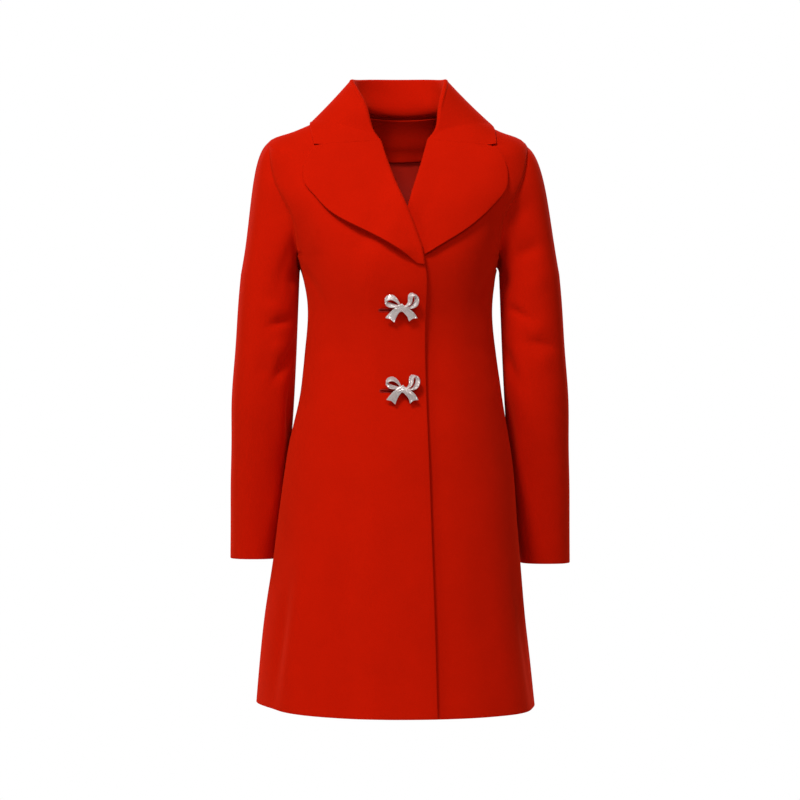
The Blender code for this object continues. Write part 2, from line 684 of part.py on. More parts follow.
# ------------------------------------------------------------------ sleeves
def build_sleeve(side):
    name = "sleeve_right" if side < 0 else "sleeve_left"
    loop, loop_normal, off = armhole_loop(side)
    columns = len(loop)
    turn = np.linspace(0, 2 * math.pi, columns, endpoint=False)
    tube = table_curve(SLEEVE_RINGS)

    def ring(z):
        out, back, half_width, half_depth = tube(z)
        share = (SLEEVE_RINGS[0][0] - z) / (SLEEVE_RINGS[0][0] - SLEEVE_RINGS[-1][0])
        square = 1 + 0.06 * np.sin(2 * turn) ** 2
        wide = half_width + SLEEVE_WIDER[side]
        x = side * (out + SLEEVE_SHIFT[side] + wide * np.cos(turn) * square)
        y = back - half_depth * np.sin(turn) * square
        return np.stack([x, y, np.full(columns, z - SLEEVE_LONGER[side] * share)], axis=-1)

    biceps = ring(SLEEVE_RINGS[0][0])
    start = loop + off * SEAM_GAP / 2
    high = ((1 + np.cos(turn)) / 2)[:, None]
    lead = off * (0.0080 + 0.021 * high ** 1.5)
    lead = lead + np.array([side, 0, 0]) * 0.006 * high ** 4
    rise = np.array([0, 0, 1.0]) * (0.0125 + 0.072 * high)
    rise = rise + np.array([-side, 0, 0]) * 0.016 * high
    cap = np.array([(1 - t) ** 3 * start + 3 * (1 - t) ** 2 * t * (start + lead)
                    + 3 * (1 - t) * t ** 2 * (biceps + rise) + t ** 3 * biceps for t in CAP_STEPS])
    heights = np.linspace(SLEEVE_RINGS[0][0], SLEEVE_RINGS[-1][0], SLEEVE_STEPS + 1)[1:]
    points = np.concatenate([cap, np.array([ring(z) for z in heights])])
    normals = grid_normals(points, wrap=True)
    if np.sum(normals[-1, 0] * np.array([side, 0, 0])) < 0:
        normals = -normals
    normals[0] = loop_normal
    wall(name, points, normals, "wool", wrap=True)


# ------------------------------------------------------------------ bow buttons
# Each bow is flat to the front: x to the right, z up, y towards the wearer, from the crossing of its ribbons.
# Loops: x, z.
LEFT_LOOP = [(-0.0008, 0.0042), (-0.0042, 0.0112), (-0.0088, 0.0170), (-0.0140, 0.0192), (-0.0190, 0.0180),
             (-0.0222, 0.0145), (-0.0205, 0.0102), (-0.0150, 0.0074), (-0.0075, 0.0052)]
RIGHT_LOOP = [(0.0018, 0.0018), (0.0078, 0.0050), (0.0104, 0.0110), (0.0106, 0.0170), (0.0130, 0.0212),
              (0.0172, 0.0208), (0.0200, 0.0160), (0.0188, 0.0085), (0.0130, 0.0022)]
LEFT_LOOP_REACH = (0.0002, -0.0052, -0.0066)    # from the loop's rear rim to its front rim: x, y, z
RIGHT_LOOP_REACH = (0.0064, -0.0050, -0.0026)
REACH_AT_KNOT = 0.35    # how much of its reach a loop keeps where the knot pinches it
# Tails: x, z of the ribbon's middle line, its width, and y, how far it lies behind the crossing.
LEFT_TAIL = [(0.0040, 0.0040, 0.0070, -0.0010), (-0.0055, -0.0030, 0.0092, -0.0016),
             (-0.0116, -0.0102, 0.0118, -0.0004), (-0.0161, -0.0182, 0.0150, 0.0010)]
RIGHT_TAIL = [(-0.0020, 0.0038, 0.0070, -0.0014), (0.0072, -0.0030, 0.0092, -0.0020),
              (0.0140, -0.0094, 0.0114, -0.0008), (0.0180, -0.0174, 0.0136, 0.0010)]
TAIL_NOTCH = 0.0020
LOOP_POINTS = 20
TAIL_POINTS = 6


def bow_loop(name, outline, reach):
    """A loop of ribbon: a closed outline, drawn out from its rear rim to its front rim, and pinched towards
    the knot."""
    share = np.linspace(0, 1, LOOP_POINTS, endpoint=False)
    rim = along(np.array(outline + outline[:1], float))(share)
    opened = (REACH_AT_KNOT + (1 - REACH_AT_KNOT) * ease(np.minimum(share, 1 - share) / 0.3))[:, None]
    full = np.array(reach)
    reach = full * opened
    middle = np.stack([rim[:, 0], 0 * share, rim[:, 1]], axis=-1) + full / 2 * (1, 0, 1)
    middle += np.array([reach[0, 0], 0, reach[0, 2]]) * (1 - opened) * 0.4
    points = np.stack([middle - reach / 2, middle + reach / 2])
    return wall(name, points, grid_normals(points, wrap=True), "pave", thickness=RIBBON_THICKNESS, wrap=True)


def bow_tail(name, line):
    """A tail of ribbon with a notch cut into its end."""
    line = np.array(line, float)
    middle = along(line)(np.linspace(0, 1, TAIL_POINTS))
    run = np.gradient(middle[:, :2], axis=0)
    run = run / np.linalg.norm(run, axis=1, keepdims=True)
    across = np.stack([-run[:, 1], run[:, 0]], axis=-1)
    rows = []
    for k in range(TAIL_POINTS):
        half = middle[k, 2] / 2
        centre = middle[k, :2].copy()
        if k == TAIL_POINTS - 1:
            centre -= run[k] * TAIL_NOTCH
        rows.append([(middle[k, 0] - across[k, 0] * half, middle[k, 3], middle[k, 1] - across[k, 1] * half),
                     (centre[0], middle[k, 3] - 0.0008, centre[1]),
                     (middle[k, 0] + across[k, 0] * half, middle[k, 3], middle[k, 1] + across[k, 1] * half)])
    points = np.array(rows)
    return wall(name, points, grid_normals(points), "pave", thickness=RIBBON_THICKNESS)


def primitive_to_mesh(thing):
    """Takes a new primitive into the coat's collection, with its place and size in its mesh."""
    bpy.ops.object.transform_apply(location=True, rotation=True, scale=True)
    for owner in thing.users_collection:
        owner.objects.unlink(thing)
    coat.objects.link(thing)
    thing.data.materials.append(materials["pave"])
    return thing


def build_bow(label, x, z, drop):
    """A bow that lies along the front, with a shank that goes back through the buttonhole."""
    front = surface_at(x, z)
    above, below = (surface_at(x, z + rise) for rise in (0.015, -0.015))
    tilt = math.atan2(above[1] - below[1], above[2] - below[2])
    bow_depth = -CLOTH / 2 - BOW_STAND_OFF
    shank_end = LAP - CLOTH / 2 - SHANK_CLEAR
    pieces = [bow_loop("bow_left_loop_" + label, LEFT_LOOP, LEFT_LOOP_REACH),
              bow_loop("bow_right_loop_" + label, RIGHT_LOOP, RIGHT_LOOP_REACH),
              bow_tail("bow_left_tail_" + label, LEFT_TAIL),
              bow_tail("bow_right_tail_" + label, RIGHT_TAIL)]
    bpy.ops.mesh.primitive_uv_sphere_add(segments=14, ring_count=8, radius=1, location=(0, 0, 0.0005))
    bpy.context.object.scale = KNOT
    pieces.append(primitive_to_mesh(bpy.context.object))
    bpy.ops.mesh.primitive_cylinder_add(vertices=12, radius=SHANK_RADIUS * 1.2, depth=drop + 0.003,
                                        location=(0, POST_BEHIND, -drop / 2))
    pieces.append(primitive_to_mesh(bpy.context.object))
    shank_length = shank_end - bow_depth - POST_BEHIND
    bpy.ops.mesh.primitive_cylinder_add(vertices=12, radius=SHANK_RADIUS, depth=shank_length,
                                        location=(0, POST_BEHIND + shank_length / 2, -drop),
                                        rotation=(math.pi / 2, 0, 0))
    pieces.append(primitive_to_mesh(bpy.context.object))
    turn = Matrix.Rotation(-tilt, 4, "X")
    place = Matrix.Translation(Vector(front)) @ turn @ Matrix.Translation((0, bow_depth, 0))
    join_pieces("bow_button_" + label, pieces, place)


def join_pieces(name, pieces, place):
    """Unites the pieces into one closed body and puts it in its place."""
    body_piece = pieces[0]
    for other in pieces[1:]:
        join = body_piece.modifiers.new("join", "BOOLEAN")
        join.operation = "UNION"
        join.solver = "EXACT"
        join.object = other
    bpy.context.view_layer.update()
    evaluated = body_piece.evaluated_get(bpy.context.evaluated_depsgraph_get())
    mesh = bpy.data.meshes.new_from_object(evaluated)
    mesh.transform(place)
    mesh.name = name
    joined = bpy.data.objects.new(name, mesh)
    coat.objects.link(joined)
    for piece in pieces:
        bpy.data.objects.remove(piece)
    return joined


# ------------------------------------------------------------------ the scene
def clear_scene():
    for thing in list(bpy.data.objects):
        bpy.data.objects.remove(thing)


def new_collection(name):
    collection = bpy.data.collections.new(name)
    bpy.context.scene.collection.children.link(collection)
    return collection


def make_material(name, color, roughness, metallic):
    material = bpy.data.materials.new(name)
    material.use_nodes = True
    shader = material.node_tree.nodes["Principled BSDF"]
    shader.inputs["Base Color"].default_value = (*color, 1)
    shader.inputs["Roughness"].default_value = roughness
    shader.inputs["Metallic"].default_value = metallic
    return material


clear_scene()
coat = new_collection("a_line_coat")
cutters = new_collection("cutters")
materials = {name: make_material(name, *values) for name, values in MATERIALS.items()}

for which in (-1, 1):
    build_front(which)
    build_sleeve(which)
build_back()
build_back_neck_facing()
build_lapels_and_collar()
for button in BUTTONS:
    build_bow(*button)
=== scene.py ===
"""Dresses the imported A-line coat. Every cloth piece is made again as a fine wall of wool with round rims, soft
folds and worked buttonholes, and the two bow buttons are set with crystals. Metres, +Z up; the front faces -Y
and +X is the wearer's left.

Every panel lies on one smooth body surface. A point on it is named by its angle round the body (0 at the centre
front, 90 on the wearer's left side, 180 at the back) and by how far down the side it lies.
"""

import math

import bmesh
import bpy
import numpy as np
from mathutils import Matrix, Vector


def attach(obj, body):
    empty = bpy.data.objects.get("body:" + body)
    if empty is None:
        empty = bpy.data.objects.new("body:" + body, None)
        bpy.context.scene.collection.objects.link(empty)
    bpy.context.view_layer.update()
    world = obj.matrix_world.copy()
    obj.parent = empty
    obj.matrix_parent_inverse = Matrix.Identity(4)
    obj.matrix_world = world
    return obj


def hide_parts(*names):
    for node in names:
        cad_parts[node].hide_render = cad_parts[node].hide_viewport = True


bl_info = {
    "name": "A-line coat with bow buttons",
    "version": (1, 0, 0),
    "blender": (4, 5, 0),
    "location": "3D View > Sidebar > Coat",
    "description": "Makes a worn wool coat with jewelled bow buttons around its packed solids",
    "category": "Object",
}

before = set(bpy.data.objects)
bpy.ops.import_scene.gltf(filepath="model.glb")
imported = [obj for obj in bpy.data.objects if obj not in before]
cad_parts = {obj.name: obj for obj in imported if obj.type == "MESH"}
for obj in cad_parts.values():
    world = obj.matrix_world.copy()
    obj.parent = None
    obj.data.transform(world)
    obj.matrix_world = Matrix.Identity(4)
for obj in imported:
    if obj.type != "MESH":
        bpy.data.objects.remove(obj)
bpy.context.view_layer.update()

# ------------------------------------------------------------------ sizes of the cloth
CLOTH = 0.0020          # thickness of the melton cloth
LAYER = 0.0036          # from one layer's middle to the middle of the next one on it
SEAM_GAP = 0.00006      # clear space between two pieces that are sewn together
LAP = 2 * LAYER         # the right front lies over the left front and its turned lapel
LAP_RUN = 0.045         # width over which the right front rises to that height
LAP_CLEAR = 0.008       # how far before the left front's edge it has risen
NECK_FACING = 0.143     # how far down the back the facing inside the neck reaches
NECK_FACING_TOP = 0.004
NECK_FACING_GAP = 0.0017
NECK_FACING_SPAN = (105, 255)
BUTTONS = [
    # name, x, z, and how far below the bow's crossing its shank goes in
    ("upper", 0.0035, -0.3030, 0.0045),
    ("lower", 0.0050, -0.4240, 0.0012),
]
BUTTONHOLE_LENGTH = 0.036
BUTTONHOLE_WIDTH = 0.0024
BUTTONHOLE_PAST_SHANK = 0.0045
# How a wall ends: at these shares of half its thickness from the edge, it has these shares of that thickness.
ROUND_RIM = np.array([(0.134, 0.50), (0.50, 0.866), (1.0, 1.0)])
SEWN_RIM = np.array([(0.0, 0.88), (0.12, 0.96), (0.50, 1.0)])

BODY_RINGS = [
    # down, z_side, z_front, z_back, half_width, front, back, middle
    (0.000, -0.0030, -0.0750, -0.0090, 0.0670, 0.0600, 0.0620, 0.0080),     # neck
    (0.066, -0.0255, -0.0920, -0.0340, 0.1300, 0.0740, 0.0800, 0.0000),     # middle of the shoulder
    (0.100, -0.0392, -0.1020, -0.0500, 0.1610, 0.0815, 0.0880, -0.0030),
    (0.136, -0.0543, -0.1120, -0.0660, 0.1930, 0.0890, 0.0960, -0.0035),    # shoulder point
    (0.166, -0.0850, -0.1320, -0.0980, 0.2020, 0.1010, 0.1060, -0.0010),
    (0.201, -0.1170, -0.1520, -0.1280, 0.2010, 0.1110, 0.1110, 0.0000),
    (0.236, -0.1455, -0.1720, -0.1550, 0.1885, 0.1190, 0.1130, 0.0000),
    (0.261, -0.1680, -0.1900, -0.1760, 0.1770, 0.1245, 0.1130, 0.0000),
    (0.306, -0.2130, -0.2180, -0.2150, 0.1570, 0.1305, 0.1110, 0.0000),
    (0.338, -0.2430, -0.2400, -0.2430, 0.1470, 0.1315, 0.1080, 0.0004),     # armpit, and the lapels' break
    (0.362, -0.2655, -0.2655, -0.2655, 0.1415, 0.1280, 0.1040, 0.0008),
    (0.400, -0.3030, -0.3030, -0.3030, 0.1373, 0.1185, 0.0980, 0.0015),     # narrowest
    (0.460, -0.3630, -0.3630, -0.3630, 0.1418, 0.1095, 0.0975, 0.0030),     # waist
    (0.535, -0.4380, -0.4390, -0.4390, 0.1514, 0.1150, 0.1080, 0.0036),
    (0.597, -0.4980, -0.5000, -0.5000, 0.1635, 0.1230, 0.1240, 0.0015),     # hip
    (0.690, -0.5880, -0.5920, -0.5910, 0.1755, 0.1320, 0.1370, 0.0000),
    (0.795, -0.6930, -0.6990, -0.6960, 0.1873, 0.1420, 0.1480, -0.0030),
    (0.915, -0.8130, -0.8215, -0.8170, 0.2022, 0.1520, 0.1580, -0.0048),
    (0.990, -0.8885, -0.8990, -0.8940, 0.2097, 0.1600, 0.1650, -0.0038),    # hem
]
SQUARENESS = 0.10
LEFT_HEM_LOWER = 0.0080
NECK_DOWN = 0.000
NECK_EASE = 0.010
SHOULDER_DOWN = 0.136
ARMPIT_DOWN = 0.338
HEM_DOWN = 0.990

FLUTES = [
    # angle, spread, depth, start
    (-62, 13, -0.0045, 0.52),
    (-38, 12, 0.0030, 0.62),
    (-101, 13, -0.0040, 0.62),
    (52, 15, 0.0030, 0.60),
    (84, 12, -0.0035, 0.64),
    (128, 15, -0.0050, 0.56),
    (158, 13, 0.0045, 0.58),
    (196, 14, -0.0045, 0.55),
    (226, 13, 0.0045, 0.60),
]
# Soft creases of the body: a straight run from one place to another, how wide it is and how deep.
BODY_CREASES = [
    # angle, down, to_angle, to_down, width, depth
    (-82, 0.318, -89, 0.342, 0.011, -0.0130),       # the pocket under the right arm
    (-74, 0.335, -52, 0.385, 0.012, -0.0026),
    (-80, 0.400, -60, 0.430, 0.015, 0.0012),
    (82, 0.318, 89, 0.342, 0.011, -0.0130),         # the pocket under the left arm
    (72, 0.335, 50, 0.390, 0.012, -0.0026),
    (78, 0.405, 58, 0.440, 0.015, 0.0012),
    (-40, 0.235, -56, 0.300, 0.014, -0.0020),       # from the lapels towards the armholes
    (44, 0.230, 58, 0.300, 0.014, -0.0022),
    (-70, 0.470, -30, 0.450, 0.014, -0.0012),       # waist
    (-84, 0.500, -50, 0.520, 0.016, 0.0012),
    (70, 0.465, 36, 0.455, 0.014, -0.0014),
    (86, 0.505, 52, 0.530, 0.016, 0.0012),
    (150, 0.430, 200, 0.445, 0.018, -0.0028),       # small of the back
    (115, 0.400, 150, 0.460, 0.016, -0.0022),
    (245, 0.400, 212, 0.465, 0.016, -0.0022),
    (125, 0.230, 140, 0.330, 0.015, -0.0026),       # shoulder blades to the armholes
    (235, 0.230, 222, 0.330, 0.015, -0.0026),
    (-54, 0.800, -58, 0.985, 0.014, -0.0040),       # skirt, near the right side
    (-45, 0.800, -47, 0.985, 0.016, 0.0026),
    (-20, 0.760, -26, 0.985, 0.022, -0.0022),
    (38, 0.740, 42, 0.985, 0.020, -0.0022),
    (66, 0.780, 74, 0.985, 0.018, -0.0036),
]
CREASE_SCALE = 0.17     # metres of cloth round the body for each radian

ARMHOLE = [
    # z, half_width
    (-0.2430, 0.1470),
    (-0.2310, 0.1485),
    (-0.2130, 0.1510),
    (-0.1680, 0.1590),
    (-0.1455, 0.1700),
    (-0.1170, 0.1840),
    (-0.0850, 0.1915),
    (-0.0535, 0.1930),
]
ARMHOLE_BACK_FULLER = 0.003

RIGHT_FRONT_EDGE = [
    # z, x
    (-0.8985, 0.0556),
    (-0.6834, 0.0492),
    (-0.4873, 0.0420),
    (-0.2896, 0.0394),
    (-0.2400, 0.0373),
    (-0.2239, 0.0322),
    (-0.1706, 0.0128),
    (-0.0826, -0.0212),
    (-0.0530, -0.0300),
]
LEFT_FRONT_EDGE = [
    # z, x
    (-0.8985, -0.0200),
    (-0.4873, -0.0245),
    (-0.2896, -0.0260),
    (-0.2400, -0.0240),
    (-0.2100, -0.0090),
    (-0.1659, 0.0139),
    (-0.1426, 0.0210),
    (-0.0911, 0.0368),
    (-0.0520, 0.0470),
]
RIGHT_LAPEL_EDGE = [
    # x, z
    (-0.1250, -0.0610),
    (-0.1370, -0.0830),
    (-0.1405, -0.1032),
    (-0.1380, -0.1190),
    (-0.1256, -0.1353),
    (-0.1072, -0.1559),
    (-0.0532, -0.1890),
    (-0.0209, -0.2061),
    (0.0077, -0.2242),
    (0.0270, -0.2400),
]
LEFT_LAPEL_EDGE = [
    # x, z
    (0.1440, -0.0620),
    (0.1565, -0.0830),
    (0.1612, -0.1060),
    (0.1579, -0.1281),
    (0.1432, -0.1480),
    (0.1223, -0.1695),
    (0.0952, -0.1912),
    (0.0602, -0.2134),
    (0.0250, -0.2330),
    (-0.0135, -0.2410),
]
LAPEL_LIFT = {-1: 0.0100, 1: 0.0034}    # how far the lower edge of each lapel stands off the chest
LAPEL_LIFT_FROM = {-1: 0.30, 1: 0.05}   # share of its length, from the gorge, at which that begins
BREAK_RUN = 0.030       # how far above the break a lapel's roll begins to die out
UNDER_LAP = 0.016       # how far from the right front's edge the left lapel has its full lift

COLLAR = [
    # turn, fold_x, fold_y, fold_z, edge_x, edge_y, edge_z
    (34, -0.0310, -0.0560, -0.0530, -0.1250, -0.0480, -0.0600),
    (62, -0.0475, -0.0450, -0.0040, -0.1285, -0.0280, -0.0420),
    (90, -0.0690, -0.0070, 0.0375, -0.1315, 0.0020, -0.0225),
    (112, -0.0670, 0.0200, 0.0440, -0.1250, 0.0340, -0.0285),
    (145, -0.0440, 0.0500, 0.0475, -0.0940, 0.0730, -0.0385),
    (180, 0.0010, 0.0640, 0.0490, 0.0015, 0.0990, -0.0470),
    (215, 0.0460, 0.0500, 0.0475, 0.0990, 0.0730, -0.0390),
    (248, 0.0680, 0.0200, 0.0440, 0.1310, 0.0340, -0.0300),
    (270, 0.0705, -0.0070, 0.0370, 0.1390, 0.0020, -0.0255),
    (298, 0.0590, -0.0450, -0.0090, 0.1430, -0.0280, -0.0440),
    (324, 0.0490, -0.0550, -0.0520, 0.1440, -0.0480, -0.0610),
]
FOLD_RADIUS = LAYER / 2
ROLL_REACH = 1.6        # from a panel's edge to the top of its fold, in fold radii
REACH_AT_BREAK = 1.2
ROLL_RADIUS = {-1: 0.0036, 1: 0.0030}   # of the lapels' soft rolls, half way down
COLLAR_FOLD_RADIUS = 0.0028
STAND_OVERHANG = 0.0042      # how far the collar's foot juts out over the neck seam, inside
GORGE_TO_STAND = math.radians(40)
NOTCH_FROM = 0.87       # share of the gorge at which collar and lapel part
NOTCH_OPEN = {-1: 0.0046, 1: 0.0100}    # how far apart they are at the tips
NOTCH_FADE = 0.020      # how far from the gorge their cloth still gives way

SLEEVE_RINGS = [
    # z, out, back, half_width, half_depth
    (-0.2500, 0.1925, 0.0040, 0.0430, 0.0590),
    (-0.2880, 0.1950, 0.0040, 0.0440, 0.0580),
    (-0.3630, 0.1990, 0.0060, 0.0450, 0.0565),      # elbow
    (-0.4380, 0.2040, 0.0140, 0.0460, 0.0550),
    (-0.4980, 0.2070, 0.0260, 0.0440, 0.0530),
    (-0.5580, 0.2120, 0.0400, 0.0410, 0.0515),
    (-0.6180, 0.2155, 0.0530, 0.0385, 0.0500),
    (-0.6780, 0.2190, 0.0640, 0.0360, 0.0480),      # cuff
]
SLEEVE_SHIFT = {-1: 0.0, 1: 0.0036}
SLEEVE_LONGER = {-1: 0.0, 1: 0.0070}
SLEEVE_WIDER = {-1: 0.0, 1: 0.0012}
# Creases of a sleeve. turn: degrees from its outer side, 90 at the front and 180 at its inner side.
SLEEVE_CREASES = {
    -1: [
        (152, -0.238, 138, -0.272, 0.012, -0.0060),     # from the pocket under the arm
        (132, -0.200, 108, -0.285, 0.013, -0.0034),
        (120, -0.306, 84, -0.300, 0.010, 0.0026),
        (142, -0.317, 94, -0.329, 0.0065, -0.0056),     # above the elbow
        (104, -0.352, 128, -0.372, 0.013, 0.0040),
        (160, -0.350, 110, -0.411, 0.0085, -0.0078),    # elbow
        (108, -0.395, 70, -0.392, 0.012, -0.0016),
        (126, -0.420, 132, -0.520, 0.009, 0.0022),      # forearm, a long soft fold
        (152, -0.412, 156, -0.500, 0.012, -0.0070),
        (138, -0.540, 132, -0.640, 0.016, 0.0036),
        (255, -0.380, 300, -0.430, 0.014, -0.0040),
        (215, -0.330, 270, -0.350, 0.013, -0.0040),
    ],
    1: [
        (155, -0.238, 140, -0.275, 0.012, -0.0060),     # from the pocket under the arm
        (112, -0.176, 62, -0.148, 0.013, -0.0042),
        (116, -0.228, 58, -0.206, 0.011, -0.0044),
        (100, -0.266, 60, -0.262, 0.014, 0.0022),
        (138, -0.300, 94, -0.320, 0.0065, -0.0056),     # above the elbow
        (100, -0.336, 66, -0.330, 0.010, 0.0020),
        (104, -0.350, 52, -0.361, 0.0075, -0.0052),     # elbow
        (160, -0.350, 120, -0.420, 0.010, -0.0050),
        (96, -0.382, 60, -0.380, 0.012, 0.0020),
        (148, -0.430, 152, -0.540, 0.014, -0.0050),     # forearm
        (258, -0.385, 300, -0.430, 0.014, -0.0040),
        (220, -0.330, 270, -0.350, 0.013, -0.0040),
    ],
}
SEAM_DIP = {-1: 0.0016, 1: 0.0030}      # how deep each armhole seam lies in the cloth
SEAM_DIP_WIDTH = 0.010
SLEEVE_SCALE = 0.05

# The sleeve's cap: curves from the armhole to the tube's top ring.
CAP_SPREAD = 3                          # how fast its columns turn side by side near the shoulder point
CAP_LEAD = (0.0080, 0.021)              # how far a curve runs off the armhole: under the arm, and what the top adds
CAP_LEAD_OUT = 0.006                    # how far it runs sideways as well, at the top
CAP_DIP = 1.4                           # how far it stands out of the sunk seam, in depths of the seam
CAP_RISE = (0.0125, 0.072)              # how high it comes down on the tube: under the arm, and what the top adds
CAP_RISE_IN = 0.016                     # how far it comes from the body's side, at the top
TUBE_SQUARE = 0.06                      # how much fuller the tube is between its four sides than an ellipse

# How finely the panels are divided.
YOKE_STEPS = 16
ARMHOLE_STEPS = 40
SKIRT_STEPS = 110
FRONT_STEPS = 52
BACK_STEPS = 104
SLEEVE_STEPS = 84
CAP_COUNT = 34
STAND_SHARES = np.array([0, 0.012, 0.03, 0.06, 0.12, 0.22, 0.35, 0.50, 0.66, 0.83, 1])    # rows of the stand
FOLD_STEPS = 10
FALL_STEPS = 36
SOFT_WAVES = [
    # turns round the body, turns down it, phase, height: the cloth's slight unevenness
    (5, 31.0, 0.4, 0.00030),
    (9, -23.0, 2.1, 0.00025),
    (3, 47.0, 4.0, 0.00022),
    (13, 12.0, 1.2, 0.00018),
]


# ------------------------------------------------------------------ curves and the body surface
def smooth_curve(knots, values):
    """A function that gives the natural cubic spline through values (one row for each knot)."""
    knots = np.asarray(knots, float)
    values = np.asarray(values, float)
    if knots[0] > knots[-1]:
        knots, values = knots[::-1], values[::-1]
    step = np.diff(knots)
    slope = np.diff(values, axis=0) / step[:, None]
    system = np.eye(len(knots))
    right = np.zeros_like(values)
    for i in range(1, len(knots) - 1):
        system[i, i - 1:i + 2] = step[i - 1], 2 * (step[i - 1] + step[i]), step[i]
        right[i] = 6 * (slope[i] - slope[i - 1])
    bend = np.linalg.solve(system, right)

    def curve(at):
        at = np.asarray(at, float)
        i = np.clip(np.searchsorted(knots, at) - 1, 0, len(step) - 1)
        h = step[i][..., None]
        a = (knots[i + 1] - at)[..., None]
        b = (at - knots[i])[..., None]
        return ((bend[i] * a ** 3 + bend[i + 1] * b ** 3) / (6 * h)
                + (values[i] / h - bend[i] * h / 6) * a + (values[i + 1] / h - bend[i + 1] * h / 6) * b)

    return curve


def table_curve(rows):
    """The smooth curve through a table whose first column is the place along it."""
    rows = np.asarray(rows, float)
    return smooth_curve(rows[:, 0], rows[:, 1:])


def along(points):
    """The smooth curve through a list of points, by the share (0 to 1) of its length."""
    points = np.asarray(points, float)
    length = np.concatenate([[0], np.cumsum(np.linalg.norm(np.diff(points, axis=0), axis=1))])
    return smooth_curve(length / length[-1], points)


def ease(t):
    """0 below 0, 1 above 1, and smooth between."""
    t = np.clip(t, 0, 1)
    return t * t * (3 - 2 * t)


def unit(vectors):
    return vectors / np.linalg.norm(vectors, axis=-1, keepdims=True)


body_ring = table_curve(BODY_RINGS)
right_edge = table_curve(RIGHT_FRONT_EDGE)
left_edge = table_curve(LEFT_FRONT_EDGE)
armhole_width = table_curve(ARMHOLE)
sleeve_tube = table_curve(SLEEVE_RINGS)


def flutes(angle, down):
    """How far the skirt's flutes push the cloth outwards."""
    push = 0.0
    for middle, spread, depth, start in FLUTES:
        away = (np.degrees(angle) - middle + 180) % 360 - 180
        push = push + depth * np.exp(-(away / spread) ** 2) * ease((down - start) / (HEM_DOWN - start))
    return push


def crease_push(round_place, down, table, scale, turn=360.0):
    """How far straight soft creases push the cloth outwards. round_place is in degrees."""
    push = 0.0
    for start_round, start_down, end_round, end_down, width, depth in table:
        run = np.radians(end_round - start_round) * scale, end_down - start_down
        away = (round_place - start_round + turn / 2) % turn - turn / 2
        across, fall = np.radians(away) * scale, down - start_down
        share = np.clip((across * run[0] + fall * run[1]) / (run[0] ** 2 + run[1] ** 2), 0, 1)
        off = (across - share * run[0]) ** 2 + (fall - share * run[1]) ** 2
        push = push + depth * (0.25 + 0.75 * np.sin(math.pi * share)) * np.exp(-off / width ** 2)
    return push


def waves(angle, down):
    push = 0.0
    for turns, falls, phase, height in SOFT_WAVES:
        push = push + height * np.sin(turns * angle + falls * down + phase)
    return push * ease(down / 0.12)


def body(angle, down):
    """The point of the body surface at an angle (radians) and a distance down the side."""
    angle, down = np.broadcast_arrays(np.asarray(angle, float), np.asarray(down, float))
    ring = body_ring(down)
    z_side, z_front, z_back, half_width, front, back, middle = np.moveaxis(ring, -1, 0)
    s, c = np.sin(angle), np.cos(angle)
    deep = np.where(c > 0, front, back)
    z_end = np.where(c > 0, z_front, z_back)
    push = (flutes(angle, down) + waves(angle, down)
            + crease_push(np.degrees(angle), down, BODY_CREASES, CREASE_SCALE))
    x = middle + half_width * s * (1 + SQUARENESS * c * c) + push * s
    y = -deep * c * (1 + SQUARENESS * s * s) - push * c
    lower = LEFT_HEM_LOWER * np.maximum(s, 0) ** 2 * ease((down - ARMPIT_DOWN) / (HEM_DOWN - ARMPIT_DOWN))
    z = z_side + (z_end - z_side) * c * c - lower
    return np.stack([x, y, z], axis=-1)


def body_frame(angle, down, step=1e-4):
    """The point there, the outward normal, and the unit steps round the body and down it."""
    here = body(angle, down)
    turn = body(np.asarray(angle) + step, down) - body(np.asarray(angle) - step, down)
    fall = body(angle, np.asarray(down) + step) - body(angle, np.asarray(down) - step)
    return here, unit(np.cross(fall, turn)), unit(turn), unit(fall)


def nearest_on_body(points, weights=(1, 1, 1), front_only=False):
    """The angle and the distance down at which the body surface comes nearest to each point."""
    points = np.asarray(points, float)
    flat = points.reshape(-1, 3)
    weights = np.asarray(weights, float)
    grid_angle, grid_down, grid = body_grids[front_only]
    grid = grid * weights
    start = [np.argmin(np.sum((grid - p * weights) ** 2, axis=1)) for p in flat]
    angle, down = grid_angle[start], grid_down[start]
    tiny = 1e-5
    for _ in range(10):
        miss = (body(angle, down) - flat) * weights
        by_angle = (body(angle + tiny, down) - body(angle - tiny, down)) * weights / (2 * tiny)
        by_down = (body(angle, down + tiny) - body(angle, down - tiny)) * weights / (2 * tiny)
        aa, ab, bb = (np.sum(p * q, axis=1) for p, q in
                      ((by_angle, by_angle), (by_angle, by_down), (by_down, by_down)))
        ma, mb = np.sum(by_angle * miss, axis=1), np.sum(by_down * miss, axis=1)
        scale = aa * bb - ab * ab + 1e-14
        angle = angle - np.clip((bb * ma - ab * mb) / scale, -0.3, 0.3)
        down = down - np.clip((aa * mb - ab * ma) / scale, -0.03, 0.03)
    return angle.reshape(points.shape[:-1]), down.reshape(points.shape[:-1])


def body_grid(reach):
    """A coarse net of the body surface, from which the nearest place to a point is looked for."""
    angles = np.radians(np.linspace(-reach, reach, 73))
    angle, down = (g.ravel() for g in np.meshgrid(angles, np.linspace(-0.02, HEM_DOWN, 120)))
    return angle, down, body(angle, down)


body_grids = {True: body_grid(88), False: body_grid(180)}


def clear_of_body(points, clearance):
    """The points, with each that is nearer to the body surface than clearance moved out to it."""
    angle, down = nearest_on_body(points)
    foot, normal, _, _ = body_frame(angle, down)
    height = np.sum((points - foot) * normal, axis=-1)
    push = np.maximum(clearance - height, 0) * ease((down - NECK_DOWN) / NECK_EASE)
    return points + normal * push[..., None]


def lap_height(x, z):
    """How far the right front stands off the body surface, where it lies over the left front."""
    start = left_edge(z)[..., 0] - LAP_CLEAR - LAP_RUN
    return LAP * ease((x - start) / LAP_RUN)


